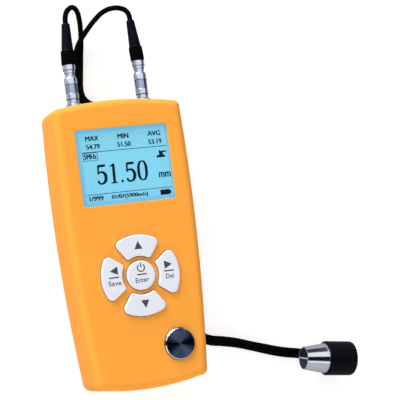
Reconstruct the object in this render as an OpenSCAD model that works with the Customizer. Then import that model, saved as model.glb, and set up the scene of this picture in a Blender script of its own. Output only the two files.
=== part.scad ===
// Hand-held ultrasonic thickness gauge with a twin-lead dual-element probe.
// It lies on its back: the origin is the middle of the back face, +Y points to the
// sockets and +Z out of the face. All sizes are in millimetres.

/* [Housing] */
// Length over the two arched ends
body_len = 144.5; // [138:0.5:156]
// Width half way along, at the parting line
body_w = 67.2; // [65:0.2:74]
// Width at the socket end
head_w = 66.8; // [65:0.2:74]
// Width at the foot end
foot_w = 58.8; // [57.6:0.2:68]
// Thickness from the back to the face
body_t = 33; // [31.5:0.5:40]
// Rise of the arched ends at their middle
end_arch = 2.4; // [2:0.1:4]
// Radius of the four corners
corner_r = 5.2; // [5.1:0.1:6]
// How much squarer than an arc the outer corners are
corner_square = 0.1; // [0:0.01:0.15]
// Fillet round the face
face_r = 4; // [3:0.25:4.2]
// How far the back edge draws in
back_in = 3.4; // [3:0.1:4.6]
// Height of the rounded back edge
back_h = 8; // [7:0.5:10]
// Height of the parting line above the back
part_z = 10.4; // [10:0.1:10.5]
// Draft of the front shell over its height
draft = 0.8; // [0:0.1:0.9]
// Wall thickness of both shells
wall = 2.2; // [2:0.1:2.4]
// Thickness of the tongue on the rear cover
lip_t = 1; // [0.8:0.1:1.2]
// Height of the tongue on the rear cover
lip_h = 1.8; // [1:0.2:2.4]
// Fit between the tongue and the front shell
lip_fit = 0.2; // [0.15:0.05:0.4]

/* [Display] */
// Width of the window
win_w = 47; // [42:0.5:49]
// Height of the window
win_h = 37.9; // [32:0.5:40]
// Corner radius of the window
win_r = 1; // [0.6:0.1:2]
// Distance from the head end to the middle of the window
win_from_head = 33.95; // [33:0.05:36]
// Depth of the window's surface below the face
win_sink = 1; // [0.6:0.1:1.2]
// Margin of the lens behind the face
lens_margin = 1.6; // [1:0.1:2]
// Margin of the glass panel past the window
lcd_margin = 2.6; // [2:0.1:3]
// Thickness of the glass panel
lcd_t = 2.2; // [1.6:0.1:2.6]
// Thickness of the backlight
light_t = 4.1; // [3.6:0.1:4.6]

/* [Keys] */
// Place of the key cross along the body
key_y = -16.4; // [-18:0.1:-15]
// Diameter of the round key
enter_d = 14.4; // [12:0.2:15]
// Inner radius of the four fan keys
fan_r0 = 9.4; // [9.2:0.1:10.2]
// Outer radius of the four fan keys
fan_r1 = 19.9; // [18:0.1:21]
// Half of the angle that a fan key spans
fan_half = 36; // [30:0.5:37]
// Radius of a fan key's outer corners
fan_out_r = 2.6; // [2:0.1:3.2]
// Radius of a fan key's inner corners
fan_in_r = 1.3; // [1.1:0.1:1.6]
// Height of the keys above the face
key_proud = 1.5; // [1:0.1:2]
// Round on the top edge of the keys
key_round = 0.8; // [0.4:0.1:0.9]
// Gap between a key and its hole
key_gap = 0.25; // [0.2:0.05:0.35]
// Retaining rim round each key, behind the face
key_rim = 0.7; // [0.5:0.1:0.8]
// Thickness of the retaining rim
rim_t = 1; // [0.8:0.1:1.2]
// Travel of the keys
key_travel = 0.6; // [0.3:0.1:0.6]

/* [Zero block] */
// Diameter of the steel test block
block_d = 15.5; // [13:0.5:17]
// Thickness of the test block
block_t = 4; // [3:0.5:5]
// Height of the test block above the face
block_proud = 1.3; // [0.6:0.1:2]
// Place of the test block across the body
block_x = 15.2; // [13:0.1:16]
// Distance from the foot end to the middle of the test block
block_from_foot = 20.35; // [18:0.05:22]

/* [Sockets and plugs] */
// Distance across from a head screw to the socket beside it
socket_off = 8.9; // [8.8:0.1:11]
// Height of the sockets above the back
socket_z = 16.2; // [16:0.1:17]
// Diameter of the flat seat round each socket
seat_d = 9.2; // [9:0.1:10]
// Thickness of the wall pad at each socket
pad_t = 3.4; // [3:0.1:4]
// Diameter of a socket's flange
flange_d = 7.8; // [7.4:0.1:8.6]
// Thickness of a socket's flange
flange_t = 2.8; // [2.6:0.1:4]
// Diameter of a socket's barrel
barrel_d = 6.6; // [6.4:0.1:7]
// Length of a socket's barrel behind the flange
barrel_len = 10; // [9:0.5:11]
// Outer diameter of the plug's metal parts
plug_d = 6.5; // [6.3:0.1:7]
// Diameter of the plug's core
core_d = 5; // [4.8:0.1:5.1]
// Front ring of the release sleeve
ring_len = 2.2; // [1.5:0.1:3]
// Front band of the release sleeve
band_len = 2.8; // [2:0.1:4]
// Knurled grip of the release sleeve
grip_len = 4.6; // [3:0.1:6]
// Depth of the grip below the bands
grip_sink = 0.25; // [0.1:0.05:0.35]
// Rear band of the release sleeve
tail_len = 4; // [3:0.1:5]
// Gap between the sleeve and the collet nut at rest
neck_len = 1.8; // [1.6:0.1:2.4]
// Length of the collet nut
collet_len = 4.2; // [3:0.1:5]
// Greatest diameter of the boot
boot_d = 7; // [6.6:0.1:7.6]
// Length of the boot's thick part
boot_head = 7.5; // [6:0.5:9]
// Whole length of the boot
boot_len = 21.3; // [18:0.1:25]
// Diameter of the boot's tip
boot_tip_d = 4.1; // [3.4:0.1:4.6]
// Lean of each boot towards the other
boot_lean = 3.3; // [0:0.1:3.6]

/* [Leads and probe] */
// Diameter of each lead
lead_d = 2.7; // [2.4:0.1:2.8]
// Middle of the probe's face across the table
probe_x = 88.3; // [88:0.1:90]
// Middle of the probe's face along the table
probe_y = -70.6; // [-71:0.1:-70]
// Turn of the probe's axis on the table
probe_yaw = -8.8; // [-9.5:0.1:-8]
// Length of the steel nose
nose_len = 12; // [11:0.5:14]
// Diameter of the nose at the measuring face
nose_d0 = 12; // [11.9:0.1:12.6]
// Diameter of the nose at the cap
nose_d1 = 15.8; // [15:0.1:16.4]
// Diameter of the probe's cap
cap_d = 18; // [17.6:0.1:18.6]
// Length of the probe's cap
cap_len = 16; // [14:0.5:20]
// Round on the cap's rear edge
cap_round = 1.6; // [0.8:0.1:2.4]
// Diameter of the pair of delay lines
delay_d = 11; // [8:0.1:11]
// Length of the delay lines
delay_len = 8; // [6:0.5:9]
// Thickness of the sound barrier between them
barrier_t = 0.7; // [0.5:0.1:1]
// Turn of the sound barrier about the probe's axis
barrier_turn = 8.5; // [0:0.5:20]
// Thickness of a crystal
crystal_t = 0.5; // [0.3:0.1:0.8]

/* [Battery bay] */
// Diameter of a cell
cell_d = 10.5; // [10:0.1:10.8]
// Length of a cell over its cap
cell_len = 44.5; // [42:0.5:45]
// Spacing of the cells
cell_pitch = 10.9; // [10.9:0.1:11.1]
// Distance from the foot end to the battery bay
bay_from_foot = 10.65; // [10.2:0.05:11.4]
// Length that a compressed spring takes
spring_len = 4; // [3:0.25:5]
// Wall of the battery bay
bay_wall = 1.4; // [1:0.1:1.8]
// Width of the door's outer plate
door_w = 45; // [44:0.1:45.4]
// Thickness of the door's outer plate
door_t = 1.2; // [1:0.1:1.4]
// Width of each runner beside the outer plate
runner_w = 1; // [0.8:0.1:1.2]
// Thickness of the runners
runner_t = 1; // [0.8:0.1:1.2]
// Gap round the door
door_gap = 0.2; // [0.15:0.05:0.3]
// Distance from the bay to the door's upper edge
door_lap = 4; // [3:0.5:5]

/* [Boards and screws] */
// Margin of the main board past each side of the glass panel
board_margin = 0.2; // [0:0.05:0.4]
// Reach of the main board past the glass panel
board_past_lcd = 1.15; // [0.5:0.05:2]
// Reach of the main board below the middle of the key cross
board_past_keys = 25.6; // [25:0.1:26.2]
// Thickness of the main board
board_t = 1.6; // [1:0.1:2]
// Height of a key switch's body
switch_h = 3.5; // [3:0.1:3.6]
// Width of a key switch's body
switch_w = 6; // [5:0.2:6.2]
// Diameter of a key switch's plunger
plunger_d = 3.5; // [3:0.1:3.8]
// Diameter of the case screws' shanks
screw_d = 2.4; // [2:0.1:3]
// Diameter of the case screw bosses
boss_d = 6.8; // [6.4:0.1:7]
// Diameter of the board screws' shanks
board_screw_d = 2; // [1.6:0.1:2.4]

/* [Hidden] */
$fn = 64;

// Colours of the finishes
orange = "#F9A23A";
key_white = "#E9EBF2";
steel = "#C3C7CE";
black = "#17181B";
glass = "#7FCBEA";
board_green = "#1F6B45";
brass = "#C9A24B";
pale = "#EDEBE4";

// Small overlap that joins solids of one piece
join = 0.4;
// Gap between pieces that are stacked flat
stack_gap = 0.1;
// Radial clearance of a running or push fit
slip = 0.05;

// The outline follows a core of four curves, thickened by a distance all round
side_n = 10;
end_n = 10;
fan_n = 5;
half_core = body_len / 2 - end_arch - corner_r;
waist_x = body_w / 2 - corner_r;
head_x = head_w / 2 - corner_r;
foot_x = foot_w / 2 - corner_r;
side_lean = (head_x - foot_x) / 2;
side_bow = (head_x + foot_x) / 2 - waist_x;

// Places along the body, from its two ends
win_y = body_len / 2 - win_from_head;
block_y = block_from_foot - body_len / 2;
bay_y0 = bay_from_foot - body_len / 2;

function unit(v) = v / norm(v);
function end_x(s) = s > 0 ? head_x : foot_x;
function side_x(y) = let (u = y / half_core) waist_x + side_lean * u + side_bow * u * u;
function side_normal(y) = unit([1, -(side_lean + 2 * side_bow * y / half_core) / half_core]);
function end_normal(x, s) = unit([2 * end_arch * x / pow(end_x(s), 2), s]);
function end_y(x, s) = s * (half_core + end_arch * (1 - pow(x / end_x(s), 2)));
function side_point(y, d) = [side_x(y), y] + d * side_normal(y);
function end_point(x, s, d) = [x, end_y(x, s)] + d * end_normal(x, s);
function heading(v) = atan2(v.y, v.x);
function turn(a) = a > 180 ? a - 360 : (a < -180 ? a + 360 : a);
function corner_fan(c, n1, n2, d, square) =
    let (a = heading(n1), sweep = turn(heading(n2) - heading(n1)))
    [for (i = [1 : fan_n - 1])
        let (u = i / fan_n, out = d * (1 + square * 4 * u * (1 - u)))
        c + out * [cos(a + sweep * u), sin(a + sweep * u)]];
function flip(v) = [-v.x, v.y];
function right_side(d) = [for (i = [0 : side_n]) side_point(half_core * (2 * i / side_n - 1), d)];
function end_run(s, d) = [for (i = [0 : end_n]) end_point(s * end_x(s) * (1 - 2 * i / end_n), s, d)];
function outline(d, square) =
    let (
        right = right_side(d),
        top_n = end_normal(head_x, 1),
        foot_n = end_normal(foot_x, -1),
        up_n = side_normal(half_core),
        low_n = side_normal(-half_core)
    )
    concat(
        right,
        corner_fan([head_x, half_core], up_n, top_n, d, square),
        end_run(1, d),
        corner_fan([-head_x, half_core], flip(top_n), flip(up_n), d, square),
        [for (i = [0 : side_n]) flip(right[side_n - i])],
        corner_fan([-foot_x, -half_core], flip(low_n), flip(foot_n), d, square),
        end_run(-1, d),
        corner_fan([foot_x, -half_core], foot_n, low_n, d, square)
    );
function lift(points, z) = [for (p = points) [p.x, p.y, z]];
function ring(d, z) = lift(outline(d, 0), z);
function skin_ring(d, z) = lift(outline(d, corner_square), z);

// A closed skin over rings of equal count, each anticlockwise and above the last
function middle(ring) = [for (p = ring) 1] * ring / len(ring);
module loft(rings) {
    n = len(rings[0]);
    last = len(rings) - 1;
    skin = [for (k = [0 : last - 1], i = [0 : n - 1])
        let (j = (i + 1) % n, a = k * n + i, b = k * n + j, c = b + n, d = a + n)
        each [[a, d, c], [a, c, b]]];
    top = last * n;
    hub = top + n;
    caps = [for (i = [0 : n - 1]) let (j = (i + 1) % n) each [[i, j, hub], [top + j, top + i, hub + 1]]];
    polyhedron(
        points = concat([for (r = rings) each r], [middle(rings[0]), middle(rings[last])]),
        faces = concat(skin, caps)
    );
}

// A closed tube along a path, with the same number of sides all the way
function path_frame(path, i) =
    let (
        last = len(path) - 1,
        t = unit(path[min(i + 1, last)] - path[max(i - 1, 0)]),
        side = unit(cross(t, [0, 0, 1]))
    )
    [side, cross(side, t)];
module tube(path, d, sides) {
    loft([for (i = [0 : len(path) - 1])
        let (f = path_frame(path, i))
        [for (k = [0 : sides - 1])
            path[i] + d / 2 * (cos(360 * k / sides) * f[0] - sin(360 * k / sides) * f[1])]]);
}

// A rectangle with round corners, anticlockwise, about the origin
function round_rect(w, h, r, n = 6) =
    [for (q = [0 : 3], i = [0 : n])
        let (a = 90 * (q + i / n), sx = (q == 0 || q == 3) ? 1 : -1, sy = q < 2 ? 1 : -1)
        [sx * (w / 2 - r) + r * cos(a), sy * (h / 2 - r) + r * sin(a)]];

// Turns a profile drawn about Z so that its axis points along +Y
module along_y(x, y, z) {
    translate([x, y, z]) rotate([-90, 0, 0]) children();
}

// Display: the lens and the glass panel reach past the window
lens_w = win_w + 2 * lens_margin;
lens_h = win_h + 2 * lens_margin;
lcd_frame = 0.7;
lcd_w = win_w + 2 * (lcd_margin + lcd_frame);
lcd_h = win_h + 2 * lcd_margin;
lcd_ledge = 3;
lcd_y0 = win_y - lcd_h / 2 - lcd_ledge;
board_w = lcd_w + 2 * board_margin;
board_y1 = win_y + lcd_h / 2 + board_past_lcd;
board_y0 = key_y - board_past_keys;

// Heights inside the housing
face_in = body_t - wall;
lens_top = body_t - win_sink;
lcd_top = face_in - stack_gap;
light_top = lcd_top - lcd_t;
board_top = light_top - light_t;
board_bottom = board_top - board_t;
rim_top = face_in - stack_gap;
rim_bottom = rim_top - rim_t;
plunger_rise = 1;
plunger_top = board_top + switch_h + plunger_rise;

// Rear cover and battery bay
floor_in = 2.4;
runner_z = door_t + stack_gap;
door_top = runner_z + runner_t;
slot_top = door_top + stack_gap;
cell_z = slot_top + 0.2 + cell_d / 2;
bay_half = 1.5 * cell_pitch + cell_d / 2 + 0.3;
bay_ceiling = cell_z + cell_d / 2 + 0.3;
contact_t = 0.4;
bay_len = cell_len + spring_len + 2 * contact_t + 0.2;
bay_y1 = bay_y0 + bay_len;
runner_half = door_w / 2 + runner_w;
bay_outer = runner_half + door_gap + bay_wall;
door_y1 = bay_y1 + door_lap;
bay_floor_z = 1;

// Case screws, two at the head and two beside the upper key
boss_inset = 6.3;
boss_head_y = half_core - 0.2;
boss_past_keys = 16.6;
boss_waist_y = key_y + boss_past_keys;
boss_foot = wall - join;
boss_points = [
    [head_w / 2 - boss_inset, boss_head_y], [-head_w / 2 + boss_inset, boss_head_y],
    [body_w / 2 - boss_inset, boss_waist_y], [-body_w / 2 + boss_inset, boss_waist_y]
];
screw_head_d = screw_d * 2.1;
screw_head_t = 2.2;
screw_sink = 0.8;
screw_tip = board_bottom - 1;

// Board screws beside the keys
board_boss_d = 5.6;
board_screw_x = 20;
board_below_lcd = 5.75;
board_below_keys = 21.6;
board_points = [for (y = [lcd_y0 - board_below_lcd, key_y - board_below_keys], s = [-1, 1])
    [s * board_screw_x, y]];
board_screw_len = 4;

// Sockets: the flat seat is cut just below the arched end
socket_x = head_w / 2 - boss_inset - socket_off;
seat_y = end_y(socket_x + seat_d / 2, 1) + corner_r - draft / 2;
pad_y = seat_y - pad_t;
pad_rim = 2;
pad_r = boss_d / 2 + pad_rim;
flange_y = seat_y + flange_t;
barrel_end = seat_y - barrel_len;
nut_t = 2.2;
nut_r = barrel_d / 2 + 1.9;
socket_bore = core_d / 2 + slip;
insulator_len = 3.5;
contact_d = 1;
contact_tail = 3;
core_y = barrel_end + insulator_len + 0.2;

// Plug, in order from the flange
band_y = flange_y + stack_gap + ring_len;
grip_y = band_y + band_len;
tail_y = grip_y + grip_len;
sleeve_end = tail_y + tail_len;
collet_y = sleeve_end + neck_len;
boot_gap = boot_d / 2 * sin(boot_lean) + slip;
boot_y = collet_y + collet_len + boot_gap;
function boot_axis(s, along) =
    [s * (socket_x - along * sin(boot_lean)), boot_y + along * cos(boot_lean), socket_z];
core_depth = 1.6;
sleeve_bore = core_d / 2 + 0.08;
pin_d = 0.9;
plug_hole = 1.6;

// Keys
stem_in = 0.35;
key_pitch = (fan_r0 + fan_r1) / 2 - stem_in;
stem_d = 4;
key_top = body_t + key_proud;

// Probe: the cap lies on its gland, and the leads run under the nose into it
probe_lift = lead_d + 4 * slip;
probe_z = cap_d / 2 + probe_lift;
spigot_d = nose_d1 - 2.6;
spigot_len = 5;
cap_chamfer = 0.6;
gland_along = nose_len + cap_chamfer;
gland_len = 8;
gland_w = 9;
gland_h = 4.1;
gland_r = 1.2;
entry_lateral = 0.8;

function probe_point(along, lateral) =
    [probe_x + along * cos(probe_yaw) - lateral * sin(probe_yaw),
     probe_y + along * sin(probe_yaw) + lateral * cos(probe_yaw)];

// Routes of the leads, placed by hand. Each lead leaves its boot straight and drops to the table
lead_z = lead_d / 2 + slip;
lead_side = lead_d / 2 + 2 * slip;
lead_start = 2.5;
left_drop = [
    boot_axis(-1, boot_len + slip), boot_axis(-1, boot_len + lead_start), [-15.9, 119.9, 15.8],
    [-13.8, 122.4, 14.6], [-11.2, 123.5, 12.7], [-8.9, 122.3, 10.3], [-7.4, 118.6, 7.4], [-6.7, 113.2, 4.5],
    [-6.8, 107, 2.3], [-7.5, 101.4, 1.5]
];
right_drop = [
    boot_axis(1, boot_len + slip), boot_axis(1, boot_len + lead_start), [15.8, 119.3, 16],
    [13.3, 121.2, 15], [9.4, 122, 13.3], [5, 121, 11.4], [0.5, 117.6, 9.4], [-3.7, 113.1, 7.7],
    [-7.2, 108.7, 6], [-9.5, 104.6, 4], [-10.5, 100.6, 2.2]
];
// The two then run as a pair: x, y of its middle line, and how far it is rolled
pair_route = [
    [-9.4, 97, 0], [-10.4, 90, 0], [-11.1, 84.5, 5], [-11, 80.4, 25], [-9.2, 76.7, 60], [-5.4, 74.4, 85],
    [0, 73.7, 90], [7, 73.6, 90], [15, 73.4, 90], [24.4, 72.8, 90], [31.2, 72.1, 60], [35.4, 69.3, 25],
    [37, 64, 0], [37.2, 54, 0], [37, 36, 0], [36.6, 17, 0], [36.1, -3, 0], [35.3, -22, 0], [34.6, -38, 0],
    [34.9, -46.6, 0], [36.8, -51.4, 0], [41, -54.1, 0], [48, -55.8, 10], [55.7, -57.8, 25], [63.2, -60.4, 35],
    [70.9, -63.1, 20], [78.7, -65.7, 5], [85.2, -67.4, 0]
];
nose_run = [[2, 2.3], [6.5, 1.2], [gland_along - 2.5, entry_lateral], [gland_along - slip, entry_lateral]];
pair_points = concat(pair_route, [for (r = nose_run)
    let (p = probe_point(r[0], r[1])) [p.x, p.y, 0]]);

function pair_strand(s) =
    [for (i = [0 : len(pair_points) - 1])
        let (
            last = len(pair_points) - 1,
            p = pair_points[i],
            step = pair_points[min(i + 1, last)] - pair_points[max(i - 1, 0)],
            run = i > last - 2 ? [cos(probe_yaw), sin(probe_yaw)] : unit([step.x, step.y]),
            across = lead_side * cos(p.z) * s,
            up = lead_side * sin(p.z)
        )
        [p.x - run.y * across, p.y + run.x * across, lead_z + up + s * up]];

module front_outer() {
    loft(concat(
        [skin_ring(corner_r, part_z), skin_ring(corner_r - draft, body_t - face_r)],
        [for (a = [15 : 15 : 90])
            skin_ring(corner_r - draft - face_r * (1 - cos(a)), body_t - face_r * (1 - sin(a)))]
    ));
}

module front_inner() {
    loft([
        ring(corner_r - wall, part_z - join),
        ring(corner_r - draft - wall, body_t - face_r),
        ring(max(0.2, corner_r - draft - face_r), face_in)
    ]);
}

module rear_outer() {
    loft(concat(
        [for (a = [90 : -15 : 0]) skin_ring(corner_r - back_in * (1 - cos(a)), back_h * (1 - sin(a)))],
        [skin_ring(corner_r, part_z)]
    ));
}

module rear_inner() {
    loft([
        ring(max(0.2, corner_r - wall - floor_in), wall),
        ring(corner_r - wall, back_h),
        ring(corner_r - wall, part_z + join)
    ]);
}

// Outline of a fan key about the middle of the key cross, grown by a distance
fan_out_c = fan_r1 - fan_out_r;
fan_in_c = fan_r0 + fan_in_r;
fan_out_a = fan_half - asin(fan_out_r / fan_out_c);
fan_in_a = fan_half - asin(fan_in_r / fan_in_c);
function polar(r, a) = [r * sin(a), r * cos(a)];
function arc(c, r, a0, a1, n) = [for (i = [0 : n]) c + polar(r, a0 + (a1 - a0) * i / n)];
function fan_half_outline(g) = concat(
    arc([0, 0], fan_r1 + g, 0, fan_out_a, 4),
    arc(polar(fan_out_c, fan_out_a), fan_out_r + g, fan_out_a + 22, fan_half + 90, 3),
    arc(polar(fan_in_c, fan_in_a), fan_in_r + g, fan_half + 90, fan_in_a + 180, 3),
    arc([0, 0], fan_r0 - g, fan_in_a * 0.67, 0, 2)
);
function fan_outline(g) =
    let (h = fan_half_outline(g), n = len(h))
    concat([for (i = [0 : n - 1]) flip(h[i])], [for (i = [n - 2 : -1 : 1]) h[i]]);

module fan_key(a) {
    translate([0, key_y, 0]) rotate([0, 0, a]) {
        translate([0, 0, rim_bottom]) linear_extrude(rim_t) polygon(fan_outline(key_rim));
        loft(concat(
            [lift(fan_outline(0), rim_top - join), lift(fan_outline(0), key_top - key_round)],
            [for (b = [30 : 30 : 90])
                lift(fan_outline(-key_round * (1 - cos(b))), key_top - key_round * (1 - sin(b)))]
        ));
        translate([0, key_pitch, plunger_top]) cylinder(d = stem_d, h = rim_bottom - plunger_top + join);
    }
}

module round_key() {
    r = enter_d / 2;
    translate([0, key_y, 0]) rotate_extrude() polygon(concat(
        [[0, plunger_top], [stem_d / 2, plunger_top], [stem_d / 2, rim_bottom], [r + key_rim, rim_bottom],
         [r + key_rim, rim_top], [r, rim_top]],
        [for (a = [0 : 15 : 90]) [r - key_round * (1 - cos(a)), key_top - key_round * (1 - sin(a))]],
        [[0, key_top]]
    ));
}

module key_holes() {
    translate([0, key_y, rim_top]) {
        for (a = [0 : 90 : 270])
            rotate([0, 0, a]) linear_extrude(wall + join) polygon(fan_outline(key_gap));
        cylinder(d = enter_d + 2 * key_gap, h = wall + join);
    }
}

// Centres of the five key switches
switch_points = concat([[0, key_y]], [for (a = [0 : 90 : 270]) [0, key_y] + key_pitch * [-sin(a), cos(a)]]);

module front_shell() {
    color(orange) difference() {
        union() {
            difference() {
                front_outer();
                front_inner();
            }
            for (p = boss_points) translate([p.x, p.y, part_z]) cylinder(d = boss_d, h = face_in + join - part_z);
            for (p = board_points)
                translate([p.x, p.y, board_top]) cylinder(d = board_boss_d, h = face_in + join - board_top);
            translate([block_x, block_y, block_cup_z]) cylinder(r = block_cup_r, h = face_in + join - block_cup_z);
            for (s = [-1, 1])
                along_y(s * socket_x, pad_y, socket_z) cylinder(r = pad_r, h = pad_t + join);
        }
        key_holes();
        translate([0, win_y, face_in - join]) linear_extrude(wall + 2 * join)
            polygon(round_rect(win_w, win_h, win_r));
        translate([0, win_y, face_in - join]) linear_extrude(lens_top - face_in + join)
            polygon(round_rect(lens_w + 2 * slip, lens_h + 2 * slip, win_r + lens_margin));
        translate([block_x, block_y, block_z]) cylinder(d = block_d + 2 * slip, h = block_t + join);
        for (p = boss_points)
            translate([p.x, p.y, part_z - join]) cylinder(d = screw_d + 2 * slip, h = screw_tip - part_z + 2 * join);
        for (p = board_points)
            translate([p.x, p.y, board_top - join])
                cylinder(d = board_screw_d + 2 * slip, h = board_screw_len - board_t + 2 * join);
        for (s = [-1, 1]) {
            along_y(s * socket_x, pad_y - join, socket_z) cylinder(d = barrel_d + 2 * slip, h = pad_t + 2 * join);
            along_y(s * socket_x, seat_y, socket_z) cylinder(d = seat_d, h = end_arch + corner_r);
        }
    }
}

module rear_cover() {
    color(orange) difference() {
        union() {
            difference() {
                rear_outer();
                rear_inner();
            }
            tongue();
            for (p = boss_points) translate([p.x, p.y, boss_foot]) cylinder(d = boss_d, h = part_z - boss_foot);
            translate([-bay_outer, bay_y0 - bay_wall, bay_floor_z])
                cube([2 * bay_outer, bay_len + 2 * bay_wall, bay_ceiling + bay_wall - bay_floor_z]);
            translate([-bay_outer, door_y1 - join, bay_floor_z])
                cube([2 * bay_outer, bay_wall + join, slot_top + bay_wall - bay_floor_z]);
            translate([-bay_outer, bay_y1, bay_floor_z])
                cube([2 * bay_outer, door_lap, slot_top + bay_wall - bay_floor_z]);
        }
        translate([-bay_half, bay_y0, -join]) cube([2 * bay_half, bay_len, bay_ceiling + join]);
        door_slot();
        for (p = boss_points) {
            translate([p.x, p.y, -join]) cylinder(d = screw_d + 4 * slip, h = part_z + 2 * join);
            translate([p.x, p.y, -join])
                cylinder(d = screw_head_d + 4 * slip, h = screw_sink + screw_head_t + join);
        }
    }
}

// Tongue that locates the rear cover in the front shell, cleared round bosses and pads
module tongue() {
    edge = corner_r - wall;
    inner = edge - lip_fit - lip_t;
    difference() {
        union() {
            loft([ring(edge + join, part_z - lip_h), ring(edge + join, part_z)]);
            loft([ring(edge - lip_fit, part_z - join), ring(edge - lip_fit, part_z + lip_h)]);
        }
        loft([ring(inner, part_z - lip_h - join), ring(inner, part_z + lip_h + join)]);
        for (p = boss_points) translate([p.x, p.y, part_z]) cylinder(d = boss_d + 4 * lip_fit, h = lip_h + join);
        for (s = [-1, 1])
            along_y(s * socket_x, pad_y - join, socket_z) cylinder(r = pad_r + lip_fit, h = pad_t + join + corner_r);
    }
}

// Room for the door: the plate is open to the back, the runners are covered
module door_slot() {
    out = body_len / 2 + join;
    translate([-door_w / 2 - door_gap, -out, -join])
        cube([door_w + 2 * door_gap, out + door_y1, slot_top + join]);
    translate([-runner_half - door_gap, -out, door_t])
        cube([2 * (runner_half + door_gap), out + door_y1, slot_top - door_t]);
}

module battery_door() {
    grip_n = 4;
    grip_step = 2.4;
    grip_in = 8;
    grip_depth = 0.5;
    color(orange) difference() {
        intersection() {
            rear_outer();
            union() {
                translate([-door_w / 2, -body_len / 2, -join])
                    cube([door_w, body_len / 2 + door_y1 - door_gap, door_top + join]);
                translate([-runner_half, -body_len / 2, runner_z])
                    cube([2 * runner_half, body_len / 2 + door_y1 - door_gap, runner_t]);
            }
        }
        for (i = [0 : grip_n - 1])
            translate([-door_w / 6, door_y1 - grip_in - i * grip_step, -join])
                cube([door_w / 3, grip_step / 2, grip_depth + join]);
    }
}

module window_lens() {
    color(glass) translate([0, win_y, face_in]) linear_extrude(lens_top - face_in)
        polygon(round_rect(lens_w, lens_h, win_r + lens_margin));
}

module lcd_panel() {
    color(glass) translate([0, win_y, light_top]) {
        translate([-lcd_w / 2, -lcd_h / 2, lcd_t / 2]) cube([lcd_w, lcd_h, lcd_t / 2]);
        translate([-lcd_w / 2, -lcd_h / 2 - lcd_ledge, 0]) cube([lcd_w, lcd_h + lcd_ledge, lcd_t / 2]);
    }
}

module backlight() {
    color(pale) translate([-lcd_w / 2, lcd_y0, board_top])
        cube([lcd_w, lcd_h + lcd_ledge, light_t]);
}

module main_board() {
    color(board_green) difference() {
        translate([-board_w / 2, board_y0, board_bottom]) cube([board_w, board_y1 - board_y0, board_t]);
        for (p = boss_points)
            translate([p.x, p.y, board_bottom - join]) cylinder(d = boss_d + 1.6, h = board_t + 2 * join);
        for (p = board_points)
            translate([p.x, p.y, board_bottom - join]) cylinder(d = board_screw_d + 0.4, h = board_t + 2 * join);
    }
}

module wireless_module() {
    module_w = 18;
    module_l = 13;
    module_t = 2.4;
    color(steel) translate([-module_w / 2, win_y - module_l / 2, board_bottom - module_t])
        cube([module_w, module_l, module_t]);
}

module tact_switches() {
    well = key_travel + 0.2;
    color(black) for (p = switch_points) translate([p.x, p.y, board_top]) difference() {
        translate([-switch_w / 2, -switch_w / 2, 0]) cube([switch_w, switch_w, switch_h]);
        translate([0, 0, plunger_foot - board_top - well])
            cylinder(d = plunger_d + 0.16, h = switch_h + well);
    }
}

plunger_foot = board_top + switch_h / 2;

module plunger(i) {
    p = switch_points[i];
    color(pale) translate([p.x, p.y, plunger_foot]) cylinder(d = plunger_d, h = plunger_top - plunger_foot);
}

block_z = body_t + block_proud - block_t;
block_cup_z = block_z - wall / 2;
block_cup_r = block_d / 2 + 1.6;

module test_block() {
    r = block_d / 2;
    c = 0.9;
    color(steel) translate([block_x, block_y, block_z]) rotate_extrude()
        polygon([[0, 0], [r, 0], [r, block_t - c], [r - c, block_t], [0, block_t]]);
}

module socket(s) {
    color(steel) along_y(s * socket_x, barrel_end, socket_z) rotate_extrude() polygon([
        [socket_bore, 0], [barrel_d / 2, 0], [barrel_d / 2, barrel_len], [flange_d / 2, barrel_len],
        [flange_d / 2, barrel_len + flange_t - 0.4], [flange_d / 2 - 0.4, barrel_len + flange_t],
        [socket_bore, barrel_len + flange_t]
    ]);
}

module socket_nut(s) {
    color(brass) along_y(s * socket_x, pad_y - nut_t, socket_z) difference() {
        cylinder(r = nut_r, h = nut_t, $fn = 6);
        translate([0, 0, -join]) cylinder(d = barrel_d + 2 * slip, h = nut_t + 2 * join);
    }
}

module socket_insulator(s) {
    color(pale) along_y(s * socket_x, barrel_end, socket_z) difference() {
        cylinder(r = socket_bore - slip, h = insulator_len);
        translate([0, 0, -join]) cylinder(d = contact_d + 2 * slip, h = insulator_len + 2 * join);
    }
}

module socket_contact(s) {
    color(brass) along_y(s * socket_x, barrel_end - contact_tail, socket_z)
        cylinder(d = contact_d, h = insulator_len + contact_tail);
}

module plug_core(s) {
    len_all = collet_y + core_depth - core_y;
    color(steel) along_y(s * socket_x, core_y, socket_z) rotate_extrude() polygon([
        [plug_hole, 0], [core_d / 2 - 0.3, 0], [core_d / 2, 0.3], [core_d / 2, len_all], [plug_hole, len_all]
    ]);
}

module release_sleeve(s) {
    r = plug_d / 2;
    y0 = flange_y + stack_gap;
    c = 0.3;
    color(steel) along_y(s * socket_x, y0, socket_z) rotate_extrude() polygon([
        [sleeve_bore, 0], [r - grip_sink, 0], [r - grip_sink, ring_len - c], [r, ring_len],
        [r, grip_y - y0], [r - grip_sink, grip_y - y0], [r - grip_sink, tail_y - y0], [r, tail_y - y0],
        [r, sleeve_end - y0 - 2 * c], [r - 2 * c, sleeve_end - y0], [sleeve_bore, sleeve_end - y0]
    ]);
}

module collet_nut(s) {
    r = plug_d / 2;
    c = 0.3;
    color(steel) along_y(s * socket_x, collet_y, socket_z) rotate_extrude() polygon([
        [core_d / 2 + slip, 0], [r - c, 0], [r, c], [r, collet_len], [lead_d / 2, collet_len],
        [lead_d / 2, core_depth + stack_gap], [core_d / 2 + slip, core_depth + stack_gap]
    ]);
}

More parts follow.
